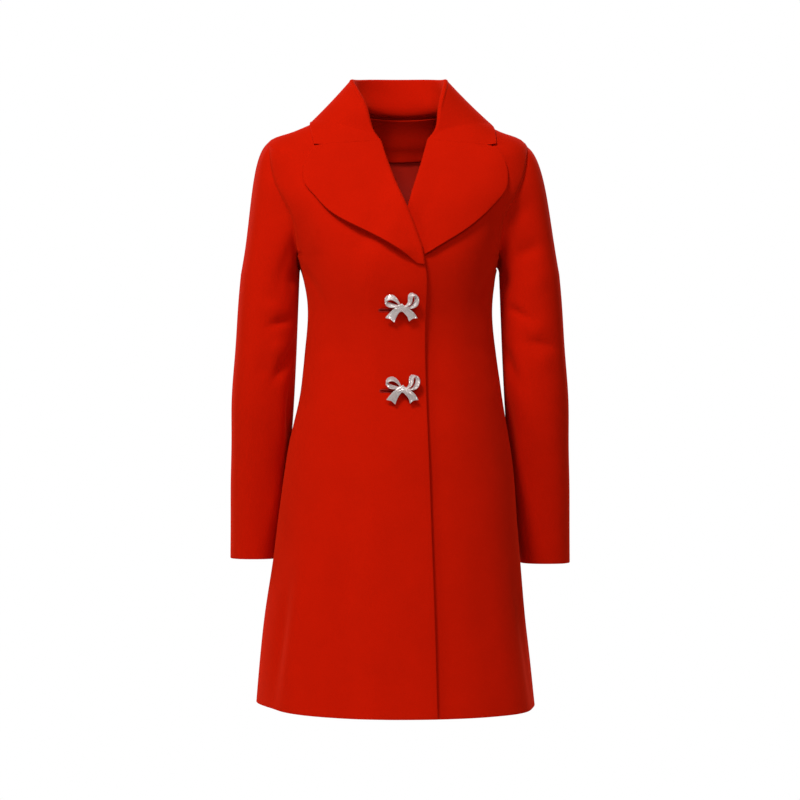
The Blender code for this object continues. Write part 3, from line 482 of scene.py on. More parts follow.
def angle_where(down, low, high, misses):
    """The angles between low and high (degrees), one for each place down, at which misses changes sign."""
    low = np.full(down.shape, math.radians(low))
    high = np.full(down.shape, math.radians(high))
    at_low = misses(body(low, down)) > 0
    for _ in range(40):
        middle = (low + high) / 2
        same = (misses(body(middle, down)) > 0) == at_low
        low, high = np.where(same, middle, low), np.where(same, high, middle)
    return (low + high) / 2


# ------------------------------------------------------------------ where the panels' edges run
YOKE_ROWS = np.linspace(NECK_DOWN, SHOULDER_DOWN, YOKE_STEPS + 1)
ARMHOLE_ROWS = np.linspace(SHOULDER_DOWN, ARMPIT_DOWN, ARMHOLE_STEPS + 1)
SKIRT_ROWS = np.linspace(ARMPIT_DOWN, HEM_DOWN, SKIRT_STEPS + 1)
ROWS = np.concatenate([YOKE_ROWS, ARMHOLE_ROWS[1:], SKIRT_ROWS[1:]])
SHOULDER_ROW = YOKE_STEPS
ARMPIT_ROW = YOKE_STEPS + ARMHOLE_STEPS


def inner_angle(side, down):
    """The angles of a front's inner edge. side is -1 for the wearer's right and 1 for the left."""
    edge = right_edge if side < 0 else left_edge
    return angle_where(np.asarray(down, float), -85, 85, lambda p: p[..., 0] - edge(p[..., 2])[..., 0])


def outer_angle(side, down, at_back):
    """The angles of a panel's outer edge: the side and shoulder seams, and the armhole between."""
    fuller = ARMHOLE_BACK_FULLER if at_back else 0.0
    more = fuller * np.sin(math.pi * np.clip((down - SHOULDER_DOWN) / (ARMPIT_DOWN - SHOULDER_DOWN), 0, 1))

    def miss(point):
        return abs(point[..., 0]) - armhole_width(point[..., 2])[..., 0] - more

    found = angle_where(down, side * (135 if at_back else 45), side * 90, miss)
    in_armhole = (down > SHOULDER_DOWN + 1e-9) & (down < ARMPIT_DOWN - 1e-9)
    return np.where(in_armhole, found, math.radians(90 * side))


def dip_to_seam(points, normals, side, down, from_seam):
    """The points, sunk where they come near the armhole seam."""
    in_armhole = ease((down - SHOULDER_DOWN) / 0.02) * (down < ARMPIT_DOWN + 1e-9)
    dip = SEAM_DIP[side] * in_armhole * (1 - ease(from_seam / SEAM_DIP_WIDTH))
    return points - normals * dip[..., None]


def from_last(points):
    """How far along its row each point of a grid lies from the last column."""
    steps = np.linalg.norm(np.diff(points, axis=1), axis=-1)
    return np.concatenate([np.cumsum(steps[:, ::-1], axis=1)[:, ::-1], np.zeros((len(points), 1))], axis=1)


def armhole_loop(side):
    """The armhole from the shoulder point down its front, under the arm and up its back: the points of the
    body surface, their normals, and the step off the panels' edge."""
    rows = ROWS[SHOULDER_ROW:ARMPIT_ROW + 1]
    angle = np.concatenate([outer_angle(side, rows, False), outer_angle(side, rows, True)[-2:0:-1]])
    down = np.concatenate([rows, rows[-2:0:-1]])
    points, normals, _, _ = body_frame(angle, down)
    ahead = unit(np.roll(points, -1, axis=0) - np.roll(points, 1, axis=0))
    off = unit(np.cross(ahead, normals)) * side
    points = dip_to_seam(points, normals, side, down, np.zeros(len(down)))
    return points, normals, off * -1 if off[0, 2] > 0 else off


# ------------------------------------------------------------------ walls of cloth
def grid_normals(points, wrap=False):
    """Unit normals of a grid of points, (rows, columns, 3)."""
    down = np.gradient(points, axis=0)
    across = np.roll(points, -1, axis=1) - np.roll(points, 1, axis=1) if wrap else np.gradient(points, axis=1)
    return unit(np.cross(down, across))


def cloth_map(points):
    """How far along the cloth each point of a grid lies, across and down, in metres."""
    across = np.linalg.norm(np.diff(points, axis=1), axis=-1)
    down = np.linalg.norm(np.diff(points, axis=0), axis=-1)
    across = np.concatenate([np.zeros((len(points), 1)), np.cumsum(across, axis=1)], axis=1)
    down = np.concatenate([np.zeros((1, points.shape[1])), np.cumsum(down, axis=0)])
    return np.stack([across, down], axis=-1)


def add_rims(fields, radius, first, last):
    """The grids with rows added close to their first and last edge, so that the wall can end there in its rims,
    and the share of its thickness at each row. The first field holds the points."""
    points = fields[0]

    def rows(rim, edge, inner):
        length = np.linalg.norm(points[inner] - points[edge], axis=-1) + 1e-9
        shares = [np.minimum(step * radius / length, 0.3 * (k + 1)) for k, step in enumerate(rim[:, 0])]
        return [[f[edge] + (f[inner] - f[edge]) * share[:, None] for share in shares] for f in fields]

    ends = zip(fields, rows(first, 0, 1), rows(last, -1, -2))
    profile = np.concatenate([[0], first[:, 1], np.ones(len(points) - 2), last[::-1, 1], [0]])
    return [np.concatenate([f[:1], a, f[1:-1], b[::-1], f[-1:]]) for f, a, b in ends], profile


def wall(name, points, normals, materials, thickness=CLOTH, wrap=False, inner_slot=0, sewn=()):
    """A closed wall of cloth with the grid of points in its middle. wrap joins the last column to the first.
    inner_slot is the material slot of the inner side. sewn names the edges that end square against another
    piece: top and bottom rows, first and last columns. The others are round."""
    flat = cloth_map(points)
    rims = {edge: SEWN_RIM if edge in sewn else ROUND_RIM for edge in ("top", "bottom", "first", "last")}
    fields, half = add_rims([points, normals, flat], thickness / 2, rims["top"], rims["bottom"])
    half = half[:, None]
    if not wrap:
        fields = [f.swapaxes(0, 1) for f in fields]
        fields, across = add_rims(fields, thickness / 2, rims["first"], rims["last"])
        fields = [f.swapaxes(0, 1) for f in fields]
        half = half * across
    points, normals, flat = fields
    offset = unit(normals) * (half * thickness / 2)[..., None]
    rows, columns = points.shape[:2]
    outside = np.arange(rows * columns).reshape(rows, columns)
    inner = np.ones((rows, columns), bool)
    inner[[0, -1]] = False
    if not wrap:
        inner[:, [0, -1]] = False
    inside = outside.copy()
    inside[inner] = rows * columns + np.arange(inner.sum())
    verts = np.concatenate([(points + offset).reshape(-1, 3), (points - offset)[inner]])
    places = np.concatenate([flat.reshape(-1, 2), flat[inner]])

    def quads(index):
        right = np.roll(index, -1, axis=1)
        faces = np.stack([index[:-1], right[:-1], right[1:], index[1:]], axis=-1)
        return (faces if wrap else faces[:, :-1]).reshape(-1, 4)

    out, back = quads(outside), quads(inside)[:, ::-1]
    middle = out[len(out) // 2]
    facing = np.cross(verts[middle[1]] - verts[middle[0]], verts[middle[3]] - verts[middle[0]])
    faces = np.concatenate([out, back])
    if np.dot(facing, offset.reshape(-1, 3)[middle[0]]) < 0:
        faces = faces[:, ::-1]
    mesh = bpy.data.meshes.new(name)
    mesh.from_pydata(verts.tolist(), [], faces.tolist())
    mesh.uv_layers.new(name="cloth").data.foreach_set("uv", places[faces.ravel()].ravel())
    mesh.polygons.foreach_set("material_index", np.repeat([0, inner_slot], len(out)))
    mesh.shade_smooth()
    for material in materials:
        mesh.materials.append(material)
    piece = bpy.data.objects.new(name, mesh)
    bpy.context.scene.collection.objects.link(piece)
    return piece


def dress(piece, node):
    """Hangs a sheet of cloth that stands for a CAD node from the root, and hides that node."""
    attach(piece, "root")
    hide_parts(node)


def open_seams(points, sides):
    """The grid with the named sides moved half a seam gap inwards."""
    half = SEAM_GAP / 2
    moved = points.copy()
    if "first" in sides:
        moved[:, 0] += half * unit(points[:, 1] - points[:, 0])
    if "last" in sides:
        moved[:, -1] += half * unit(points[:, -2] - points[:, -1])
    if "top" in sides:
        moved[0] += half * unit(points[1] - points[0])
    return moved


# ------------------------------------------------------------------ fronts, back and neck facing
def front_grid(side):
    """The middle of a front's cloth, from its inner edge to its outer edge, and the normals there."""
    inner, outer = inner_angle(side, ROWS), outer_angle(side, ROWS, False)
    shares = np.linspace(0, 1, FRONT_STEPS + 1)
    angles = inner[:, None] + (outer - inner)[:, None] * shares
    points, normals, _, _ = body_frame(angles, np.repeat(ROWS[:, None], FRONT_STEPS + 1, axis=1))
    if side < 0:
        points = points + normals * lap_height(points[..., 0], points[..., 2])[..., None]
        lapped = grid_normals(points)
        lapped *= np.sign(np.sum(lapped * normals, axis=-1, keepdims=True))
        near_edge = ease((ROWS - 0.02) / 0.05)[:, None, None] * (1 - shares)[:, None]
        normals = unit(normals * (1 - near_edge) + lapped * near_edge)
    return dip_to_seam(points, normals, side, ROWS[:, None], from_last(points)), normals


def back_grid():
    right, left = outer_angle(-1, ROWS, True) + 2 * math.pi, outer_angle(1, ROWS, True)
    angles = left[:, None] + (right - left)[:, None] * np.linspace(0, 1, BACK_STEPS + 1)
    points, normals, _, _ = body_frame(angles, np.repeat(ROWS[:, None], BACK_STEPS + 1, axis=1))
    from_right = from_last(points)
    points = dip_to_seam(points, normals, -1, ROWS[:, None], from_right)
    return dip_to_seam(points, normals, 1, ROWS[:, None], from_right[:, :1] - from_right), normals


def neck_facing_grid():
    angle = np.linspace(*np.radians(NECK_FACING_SPAN), 81)
    lowest = NECK_FACING * (0.35 + 0.65 * np.sin(angle - math.pi / 2))
    downs = NECK_FACING_TOP + np.linspace(0, 1, 30)[:, None] * (lowest - NECK_FACING_TOP)
    points, normals, _, _ = body_frame(angle + 0 * downs, downs)
    return points - normals * (CLOTH + NECK_FACING_GAP), normals


def above_front(target, raised, side):
    """Points that are seen from the front at the targets' x and z, and lie raised above a front."""
    aim = target.copy()
    for _ in range(3):
        angle, down = nearest_on_body(aim, (1, 0, 1), front_only=True)
        point, normal, _, _ = body_frame(angle, down)
        height = raised + (lap_height(target[..., 0], target[..., 2]) if side < 0 else 0)
        there = point + normal * np.broadcast_to(height, target.shape[:-1])[..., None]
        aim = aim + (target - there) * np.array([1, 0, 1])
    return there


def surface_at(x, z):
    """The point of the right front's middle seen from the front at x and z."""
    return above_front(np.array([[x, 0.0, z]]), 0.0, -1)[0]


# ------------------------------------------------------------------ lapels and collar
def bezier(p0, p1, p2, p3, shares):
    t = np.asarray(shares)[:, None]
    return (1 - t) ** 3 * p0 + 3 * (1 - t) ** 2 * t * p1 + 3 * (1 - t) * t ** 2 * p2 + t ** 3 * p3


def fold_section(start, off, top, up, over, radius, overhang=0.0):
    """The stand, from a panel's edge, and the fold at its top. off: the step off the panel's edge; up: from
    the fold's middle to its top; over: across the fold, from the stand to the fall; overhang: how far the
    stand's foot juts out over the seam, to the side away from the fall."""
    middle = top - up * radius
    foot = middle - over * radius
    reach = np.linalg.norm(foot - start)
    stand = bezier(start, start + off * reach * 0.35, foot - up * reach * 0.4, foot, STAND_SHARES)
    jut = ease(STAND_SHARES / 0.05) * (1 - ease((STAND_SHARES - 0.08) / 0.6))
    stand = stand - over * overhang * jut[:, None]
    turns = np.linspace(0, math.pi, FOLD_STEPS + 1)[1:, None]
    return np.concatenate([stand, middle - over * radius * np.cos(turns) + up * radius * np.sin(turns)])


def fold_top(start, out, off, reach=ROLL_REACH, radius=FOLD_RADIUS):
    """The top of a fold that turns back flat on its own panel."""
    return start + off * FOLD_RADIUS * reach + out * radius


def neckline(side):
    """The front's inner edge above the break and its top corner: the points of the cloth's middle, the
    normals, and the step off the edge, from the neck down."""
    points, normals = front_grid(side)
    edge, normal = points[:ARMPIT_ROW + 1, 0], normals[:ARMPIT_ROW + 1, 0]
    ahead = np.gradient(edge, axis=0)
    corner = inner_angle(side, np.array([NECK_DOWN]))[0] + side * math.radians(2)
    ahead[0] = edge[1] - body(corner, NECK_DOWN)
    off = unit(np.cross(unit(ahead), normal)) * side
    return edge, normal, off


def lapel_grid(side):
    """The sections of a lapel, from the gorge down to the break."""
    edge, normal, off = neckline(side)
    outline = along(RIGHT_LAPEL_EDGE if side < 0 else LEFT_LAPEL_EDGE)
    length = np.concatenate([[0], np.cumsum(np.linalg.norm(np.diff(edge, axis=0), axis=1))])
    shares = length / length[-1]
    across = np.linspace(0, 1, FALL_STEPS + 1)[1:]
    to_break = length[-1] - length
    reaches = ROLL_REACH + (REACH_AT_BREAK - ROLL_REACH) * (1 - ease(to_break / BREAK_RUN))
    starts = edge + off * (SEAM_GAP - 0.0030 * (1 - ease(to_break / BREAK_RUN)))[:, None]
    radii = FOLD_RADIUS + (ROLL_RADIUS[side] - FOLD_RADIUS) * ease(shares / 0.3) * ease((1 - shares) / 0.3)
    rolled = np.array([fold_section(start, step, fold_top(start, out, step, reach, radius), step, out, radius)
                       for start, out, step, reach, radius in zip(starts, normal, off, reaches, radii)])
    fold_end = rolled[:, -1]
    ends = outline(shares)
    target = np.zeros((len(edge), FALL_STEPS, 3))
    target[..., 0] = fold_end[:, :1] + (ends[:, :1] - fold_end[:, :1]) * across
    target[..., 2] = fold_end[:, 2:] + (ends[:, 1:] - fold_end[:, 2:]) * across
    swell = ease((shares - LAPEL_LIFT_FROM[side]) / 0.35) * ease(to_break / BREAK_RUN)
    raised = LAYER + LAPEL_LIFT[side] * across ** 1.5 * swell[:, None]
    raised = raised + (2 * radii - LAYER)[:, None] * (1 - ease(across / 0.3))
    if side > 0:
        past_lap = target[..., 0] - right_edge(target[..., 2])[..., 0]
        raised = LAYER + (raised - LAYER) * ease(past_lap / UNDER_LAP)
    return np.concatenate([rolled, above_front(target, raised, side)], axis=1)


def collar_turns():
    """The angle round the neck of each section, the same as the fronts' and the back's top columns."""
    neck = np.array([NECK_DOWN])
    right = np.linspace(-inner_angle(-1, neck)[0], math.pi / 2, FRONT_STEPS + 1)
    back = np.linspace(math.pi / 2, 3 * math.pi / 2, BACK_STEPS + 1)
    left = np.linspace(3 * math.pi / 2, 2 * math.pi - inner_angle(1, neck)[0], FRONT_STEPS + 1)
    return np.concatenate([right, back[1:], left[1:]])


def collar_grid(right_gorge, left_gorge):
    """The sections of the collar, from the right gorge round the neck to the left one. At each gorge it
    starts as the lapel's first section, and its fold rises from there."""
    turns = collar_turns()
    shape = table_curve(COLLAR)
    ring, normal, round_body, _ = body_frame(-turns, NECK_DOWN)
    off = unit(np.cross(round_body, normal))
    off *= np.sign(off[:, 2:3])
    shares = np.linspace(0, 1, FALL_STEPS + 1)[1:, None]
    rolled, falls = [], []
    for k in range(1, len(turns) - 1):
        values = shape(math.degrees(turns[k]))
        upright = ease(min(turns[k] - turns[0], turns[-1] - turns[k]) / GORGE_TO_STAND)
        start = ring[k] + off[k] * SEAM_GAP
        top = fold_top(start, normal[k], off[k]) * (1 - upright) + values[:3] * upright
        up = unit(off[k] * (1 - upright) + np.array([0.0, 0.0, 1.0]) * upright)
        from_neck = np.array([-math.sin(turns[k]), -math.cos(turns[k]), 0.0])
        over = unit(from_neck - up * np.dot(from_neck, up))
        radius = FOLD_RADIUS + (COLLAR_FOLD_RADIUS - FOLD_RADIUS) * upright
        section = fold_section(start, off[k], top, up, over, radius, STAND_OVERHANG * upright ** 2)
        rolled.append(section)
        falls.append(section[-1] + (values[3:] - section[-1]) * shares)
    sections = np.concatenate([np.array(rolled), clear_of_body(np.array(falls), LAYER)], axis=1)
    return np.concatenate([right_gorge[None], sections, left_gorge[None]])


def open_notch(points, side, reverse=False):
    """Turns the tip away from the gorge, so that collar and lapel end in a small notch."""
    rows = points[::-1] if reverse else points
    across = np.linspace(0, 1, FALL_STEPS + 1)
    opening = NOTCH_OPEN[side] / 2 * np.clip((across - NOTCH_FROM) / (1 - NOTCH_FROM), 0, 1) ** 1.2
    fall = slice(points.shape[1] - FALL_STEPS - 1, None)
    away = unit(rows[1, fall] - rows[0, fall])
    travel = np.concatenate([[0], np.cumsum(np.linalg.norm(np.diff(rows[:, -1], axis=0), axis=1))])
    fade = np.maximum(0, 1 - travel / NOTCH_FADE) ** 2
    moved = rows.copy()
    moved[:, fall] += away * opening[:, None] * fade[:, None, None]
    return moved[::-1] if reverse else moved


def lapels_and_collar():
    """Grids and normals of the collar and both lapels. The collar's end sections are the lapels' first ones."""
    lapels = {-1: lapel_grid(-1), 1: lapel_grid(1)}
    collar = collar_grid(lapels[-1][0], lapels[1][0])
    collar_normals = grid_normals(collar)
    grids = {}
    for side, end, next_in, name in ((-1, 0, 1, "lapel_right"), (1, -1, -2, "lapel_left")):
        points = lapels[side]
        normals = grid_normals(points)
        normals *= np.sign(np.sum(normals[0] * collar_normals[end]))
        normals[0] = unit(normals[0] + collar_normals[end])
        collar_normals[end] = normals[0]
        collar[end] += unit(collar[next_in] - collar[end]) * SEAM_GAP / 2
        points[0] += unit(points[1] - points[0]) * SEAM_GAP / 2
        grids[name] = open_notch(points, side), normals
    grids["collar"] = open_notch(open_notch(collar, -1), 1, reverse=True), collar_normals
    return grids


# ------------------------------------------------------------------ sleeves
def sleeve_grid(side):
    """The sleeve's rows, from the armhole over the cap and down the tube to the cuff, and their normals."""
    loop, loop_normal, off = armhole_loop(side)
    if np.allclose(loop[1], loop[-1]):
        loop[0], loop_normal[0] = loop[1], loop_normal[1]    # the shoulder seam runs on to the next row
    columns = len(loop)
    turn = np.linspace(0, 2 * math.pi, columns, endpoint=False)
    top_z, cuff_z = SLEEVE_RINGS[0][0], SLEEVE_RINGS[-1][0]

    def ring(z):
        out, back, half_width, half_depth = sleeve_tube(z)
        square = 1 + TUBE_SQUARE * np.sin(2 * turn) ** 2
        wide = half_width + SLEEVE_WIDER[side]
        x = side * (out + SLEEVE_SHIFT[side] + wide * np.cos(turn) * square)
        y = back - half_depth * np.sin(turn) * square
        lower = SLEEVE_LONGER[side] * (top_z - z) / (top_z - cuff_z)
        return np.stack([x, y, np.full(columns, z - lower)], axis=-1)

    biceps = ring(top_z)
    start = loop + off * SEAM_GAP / 2
    high = ((1 + np.cos(turn)) / 2)[:, None]
    off = unit(off * (1 - high ** CAP_SPREAD) + off[0] * high ** CAP_SPREAD)
    lead = off * (CAP_LEAD[0] + CAP_LEAD[1] * high ** 1.5) + np.array([side, 0, 0]) * CAP_LEAD_OUT * high ** 4
    lead = lead + loop_normal * SEAM_DIP[side] * CAP_DIP
    rise = np.array([0, 0, 1.0]) * (CAP_RISE[0] + CAP_RISE[1] * high) + np.array([-side, 0, 0]) * CAP_RISE_IN * high
    shares = ease(np.linspace(0, 1, CAP_COUNT + 1)) * 0.35 + np.linspace(0, 1, CAP_COUNT + 1) * 0.65
    cap = np.array([(1 - t) ** 3 * start + 3 * (1 - t) ** 2 * t * (start + lead)
                    + 3 * (1 - t) * t ** 2 * (biceps + rise) + t ** 3 * biceps for t in shares])
    tube = np.array([ring(z) for z in np.linspace(top_z, cuff_z, SLEEVE_STEPS + 1)[1:]])
    points = np.concatenate([cap, tube])
    normals = grid_normals(points, wrap=True)
    if np.sum(normals[-1, 0] * np.array([side, 0, 0])) < 0:
        normals = -normals
    push = crease_push(np.degrees(turn)[None, :], points[..., 2], SLEEVE_CREASES[side], SLEEVE_SCALE)
    push = push * ease(np.arange(len(points)) / 10)[:, None]
    points = points + normals * push[..., None]
    creased = grid_normals(points, wrap=True)
    normals = creased * np.sign(np.sum(creased * normals, axis=-1, keepdims=True))
    normals[0] = loop_normal
    return points, normals


# ------------------------------------------------------------------ materials
def shader_of(material):
    material.use_nodes = True
    return material.node_tree.nodes["Principled BSDF"]


def new_node(tree, kind, **values):
    node = tree.nodes.new(kind)
    for name, value in values.items():
        node.inputs[name.replace("_", " ")].default_value = value
    return node


def colour_ramp(tree, factor, stops):
    ramp = tree.nodes.new("ShaderNodeValToRGB")
    for stop, (place, colour) in zip(ramp.color_ramp.elements, stops):
        stop.position = place
        stop.color = (*colour, 1)
    tree.links.new(factor, ramp.inputs["Fac"])
    return ramp.outputs["Color"]


def wool_material(settings):
    """Red melton: a short felted nap, with fibres a shade lighter and darker than the rest."""
    material = bpy.data.materials.new("red wool melton")
    shader = shader_of(material)
    tree = material.node_tree
    place = tree.nodes.new("ShaderNodeTexCoord").outputs["Object"]
    nap = new_node(tree, "ShaderNodeTexNoise", Scale=620.0, Detail=5.0, Roughness=0.62)
    blotch = new_node(tree, "ShaderNodeTexNoise", Scale=26.0, Detail=3.0, Roughness=0.5)
    fibre = new_node(tree, "ShaderNodeTexNoise", Scale=260.0, Detail=3.0, Roughness=0.7, Distortion=1.8)
    for texture in (nap, blotch, fibre):
        tree.links.new(place, texture.inputs["Vector"])
    red = np.array(settings.wool_colour)
    fine = colour_ramp(tree, nap.outputs["Fac"], ((0.30, red * 0.86), (0.72, red * 1.10)))
    broad = colour_ramp(tree, blotch.outputs["Fac"], ((0.30, red * 0.94), (0.70, red * 1.04)))
    mix = tree.nodes.new("ShaderNodeMix")
    mix.data_type = "RGBA"
    mix.inputs["Factor"].default_value = 0.5
    tree.links.new(broad, mix.inputs[6])
    tree.links.new(fine, mix.inputs[7])
    tree.links.new(mix.outputs[2], shader.inputs["Base Color"])
    coarse = tree.nodes.new("ShaderNodeBump")
    coarse.inputs["Strength"].default_value = settings.nap_strength
    coarse.inputs["Distance"].default_value = 0.0005
    tree.links.new(fibre.outputs["Fac"], coarse.inputs["Height"])
    bump = tree.nodes.new("ShaderNodeBump")
    bump.inputs["Strength"].default_value = settings.nap_strength
    bump.inputs["Distance"].default_value = 0.0002
    tree.links.new(nap.outputs["Fac"], bump.inputs["Height"])
    tree.links.new(coarse.outputs["Normal"], bump.inputs["Normal"])
    tree.links.new(bump.outputs["Normal"], shader.inputs["Normal"])
    shader.inputs["Roughness"].default_value = 0.92
    shader.inputs["Specular IOR Level"].default_value = 0.02
    shader.inputs["Sheen Weight"].default_value = settings.sheen
    shader.inputs["Sheen Roughness"].default_value = 0.55
    shader.inputs["Sheen Tint"].default_value = (1.0, 0.05, 0.01, 1)
    return material


def lining_material(settings):
    """Plain red lining with a low gloss and a fine twill in it."""
    material = bpy.data.materials.new("red lining")
    shader = shader_of(material)
    tree = material.node_tree
    place = tree.nodes.new("ShaderNodeTexCoord").outputs["UV"]
    turned = tree.nodes.new("ShaderNodeMapping")
    turned.inputs["Rotation"].default_value = (0, 0, math.radians(58))
    tree.links.new(place, turned.inputs["Vector"])
    twill = new_node(tree, "ShaderNodeTexWave", Scale=190.0, Distortion=0.6, Detail=1.0)
    tree.links.new(turned.outputs["Vector"], twill.inputs["Vector"])
    red = np.array(settings.lining_colour)
    tree.links.new(colour_ramp(tree, twill.outputs["Fac"], ((0.2, red * 0.9), (0.8, red * 1.06))),
                   shader.inputs["Base Color"])
    bump = tree.nodes.new("ShaderNodeBump")
    bump.inputs["Strength"].default_value = 0.12
    bump.inputs["Distance"].default_value = 0.0001
    tree.links.new(twill.outputs["Fac"], bump.inputs["Height"])
    tree.links.new(bump.outputs["Normal"], shader.inputs["Normal"])
    shader.inputs["Roughness"].default_value = 0.55
    shader.inputs["Specular IOR Level"].default_value = 0.25
    return material


def thread_material(settings):
    material = bpy.data.materials.new("buttonhole twist")
    shader = shader_of(material)
    tree = material.node_tree
    place = tree.nodes.new("ShaderNodeTexCoord").outputs["Object"]
    strand = new_node(tree, "ShaderNodeTexNoise", Scale=1800.0, Detail=2.0)
    tree.links.new(place, strand.inputs["Vector"])
    red = np.array(settings.wool_colour)
    tree.links.new(colour_ramp(tree, strand.outputs["Fac"], ((0.3, red * 0.5), (0.7, red * 0.9))),
                   shader.inputs["Base Color"])
    shader.inputs["Roughness"].default_value = 0.5
    shader.inputs["Specular IOR Level"].default_value = 0.3
    return material


def setting_material(settings):
    """Polished silver-coloured metal between the stones, a little uneven."""
    material = bpy.data.materials.new("silver setting")
    shader = shader_of(material)
    tree = material.node_tree
    place = tree.nodes.new("ShaderNodeTexCoord").outputs["Object"]
    grain = new_node(tree, "ShaderNodeTexNoise", Scale=1400.0, Detail=3.0)
    tree.links.new(place, grain.inputs["Vector"])
    metal = np.array(settings.metal_colour)
    tree.links.new(colour_ramp(tree, grain.outputs["Fac"], ((0.25, metal * 0.82), (0.75, metal))),
                   shader.inputs["Base Color"])
    bump = tree.nodes.new("ShaderNodeBump")
    bump.inputs["Strength"].default_value = 0.35
    bump.inputs["Distance"].default_value = 0.0002
    tree.links.new(grain.outputs["Fac"], bump.inputs["Height"])
    tree.links.new(bump.outputs["Normal"], shader.inputs["Normal"])
    shader.inputs["Metallic"].default_value = 0.65
    shader.inputs["Roughness"].default_value = 0.38
    return material


def crystal_material(settings):
    """Clear cut stones over foil: bright faceted glints, each stone a slightly different tone."""
    material = bpy.data.materials.new("clear crystal")
    shader = shader_of(material)
    tree = material.node_tree
    place = tree.nodes.new("ShaderNodeTexCoord").outputs["Object"]
    tone = new_node(tree, "ShaderNodeTexVoronoi", Scale=520.0)
    tree.links.new(place, tone.inputs["Vector"])
    stone = np.array(settings.crystal_colour)
    tree.links.new(colour_ramp(tree, tone.outputs["Distance"], ((0.1, stone), (0.8, stone * 0.72))),
                   shader.inputs["Base Color"])
    shader.inputs["Metallic"].default_value = 0.30
    shader.inputs["Roughness"].default_value = 0.16
    shader.inputs["IOR"].default_value = 1.9
    shader.inputs["Coat Weight"].default_value = 0.6
    shader.inputs["Coat Roughness"].default_value = 0.03
    return material


# ------------------------------------------------------------------ bow buttons
# Each bow is flat to the front: x to the right, z up, y towards the wearer, from the crossing of its ribbons.
LEFT_LOOP = [
    # x, z of the rear rim, round from the crossing and back to it
    (-0.0008, 0.0042), (-0.0042, 0.0112), (-0.0088, 0.0170), (-0.0140, 0.0192), (-0.0190, 0.0180),
    (-0.0222, 0.0145), (-0.0205, 0.0102), (-0.0150, 0.0074), (-0.0075, 0.0052),
]
RIGHT_LOOP = [
    # x, z of the rear rim, round from the crossing and back to it
    (0.0018, 0.0018), (0.0078, 0.0050), (0.0104, 0.0110), (0.0106, 0.0170), (0.0130, 0.0212),
    (0.0172, 0.0208), (0.0200, 0.0160), (0.0188, 0.0085), (0.0130, 0.0022),
]
LEFT_LOOP_REACH = (0.0002, -0.0052, -0.0066)    # from a loop's rear rim to its front rim: x, y, z
RIGHT_LOOP_REACH = (0.0064, -0.0050, -0.0026)
REACH_AT_KNOT = 0.35    # how much of its reach a loop keeps where the knot pinches it
LEFT_TAIL = [
    # x and z of the ribbon's middle, its width, and y
    (0.0040, 0.0040, 0.0070, -0.0010), (-0.0055, -0.0030, 0.0092, -0.0016),
    (-0.0116, -0.0102, 0.0118, -0.0004), (-0.0161, -0.0182, 0.0150, 0.0010),
]
RIGHT_TAIL = [
    # x and z of the ribbon's middle, its width, and y
    (-0.0020, 0.0038, 0.0070, -0.0014), (0.0072, -0.0030, 0.0092, -0.0020),
    (0.0140, -0.0094, 0.0114, -0.0008), (0.0180, -0.0174, 0.0136, 0.0010),
]
TAIL_NOTCH = 0.0020
LOOP_STEPS = 40
TAIL_STEPS = 12
KNOT = (0.0052, 0.0032, 0.0046)     # half sizes of the crossing's lump
SHANK_RADIUS = 0.0011
POST_BEHIND = 0.0022
BOW_STAND_OFF = 0.0060
SHANK_CLEAR = 0.0007


def select_nothing():
    bpy.ops.object.select_all(action="DESELECT")


def pick(shape, chosen):
    """Selects the chosen points, and the edges and faces that they bound."""
    for part in (*shape.faces, *shape.edges, *shape.verts):
        part.select = False
    for point in chosen:
        point.select = True
    shape.select_flush(True)


def start_edge(name, middle, reach):
    """A plane with one side along reach, cut down to that side. Leaves the piece in edit mode."""
    select_nothing()
    reach = Vector(reach)
    turn = reach.to_track_quat("Y", "Z")
    bpy.ops.mesh.primitive_plane_add(size=reach.length, rotation=turn.to_euler(),
                                     location=Vector(middle) + turn @ Vector((reach.length / 2, 0, 0)))
    piece = bpy.context.object
    piece.name = name
    bpy.ops.object.transform_apply(location=True, rotation=True, scale=True)
    bpy.ops.object.mode_set(mode="EDIT")
    bpy.ops.mesh.select_mode(type="VERT")
    shape = bmesh.from_edit_mesh(piece.data)
    far = sorted(shape.verts, key=lambda v: (v.co - Vector(middle)).dot(turn @ Vector((1, 0, 0))))[2:]
    pick(shape, far)
    bmesh.update_edit_mesh(piece.data)
    bpy.ops.mesh.delete(type="VERT")
    return piece


def finish_ribbon(piece, thickness):
    """Gives the ribbon its thickness and rounds its rims."""
    bpy.ops.mesh.select_all(action="SELECT")
    bpy.ops.mesh.normals_make_consistent(inside=False)
    bpy.ops.object.mode_set(mode="OBJECT")
    solid = piece.modifiers.new("thickness", "SOLIDIFY")
    solid.thickness, solid.offset = thickness, 0
    rims = piece.modifiers.new("rims", "BEVEL")
    rims.width, rims.segments, rims.angle_limit = thickness * 0.28, 2, math.radians(50)
    for modifier in [m.name for m in piece.modifiers]:
        bpy.ops.object.modifier_apply(modifier=modifier)
    bpy.ops.object.shade_smooth_by_angle(angle=math.radians(38))
    return piece


def loop_rows(outline, reach):
    """The rear, middle and front points of a loop, row by row, pinched towards the knot."""
    share = np.linspace(0, 1, LOOP_STEPS, endpoint=False)
    rim = along(np.array(outline + outline[:1], float))(share)
    opened = (REACH_AT_KNOT + (1 - REACH_AT_KNOT) * ease(np.minimum(share, 1 - share) / 0.3))[:, None]
    reach = np.array(reach) * opened
    middle = np.stack([rim[:, 0], 0 * share, rim[:, 1]], axis=-1) + np.array(reach) / 2 * (1, 0, 1)
    middle += np.array([reach[0, 0], 0, reach[0, 2]]) * (1 - opened) * 0.4
    return np.stack([middle - reach / 2, middle, middle + reach / 2], axis=1)


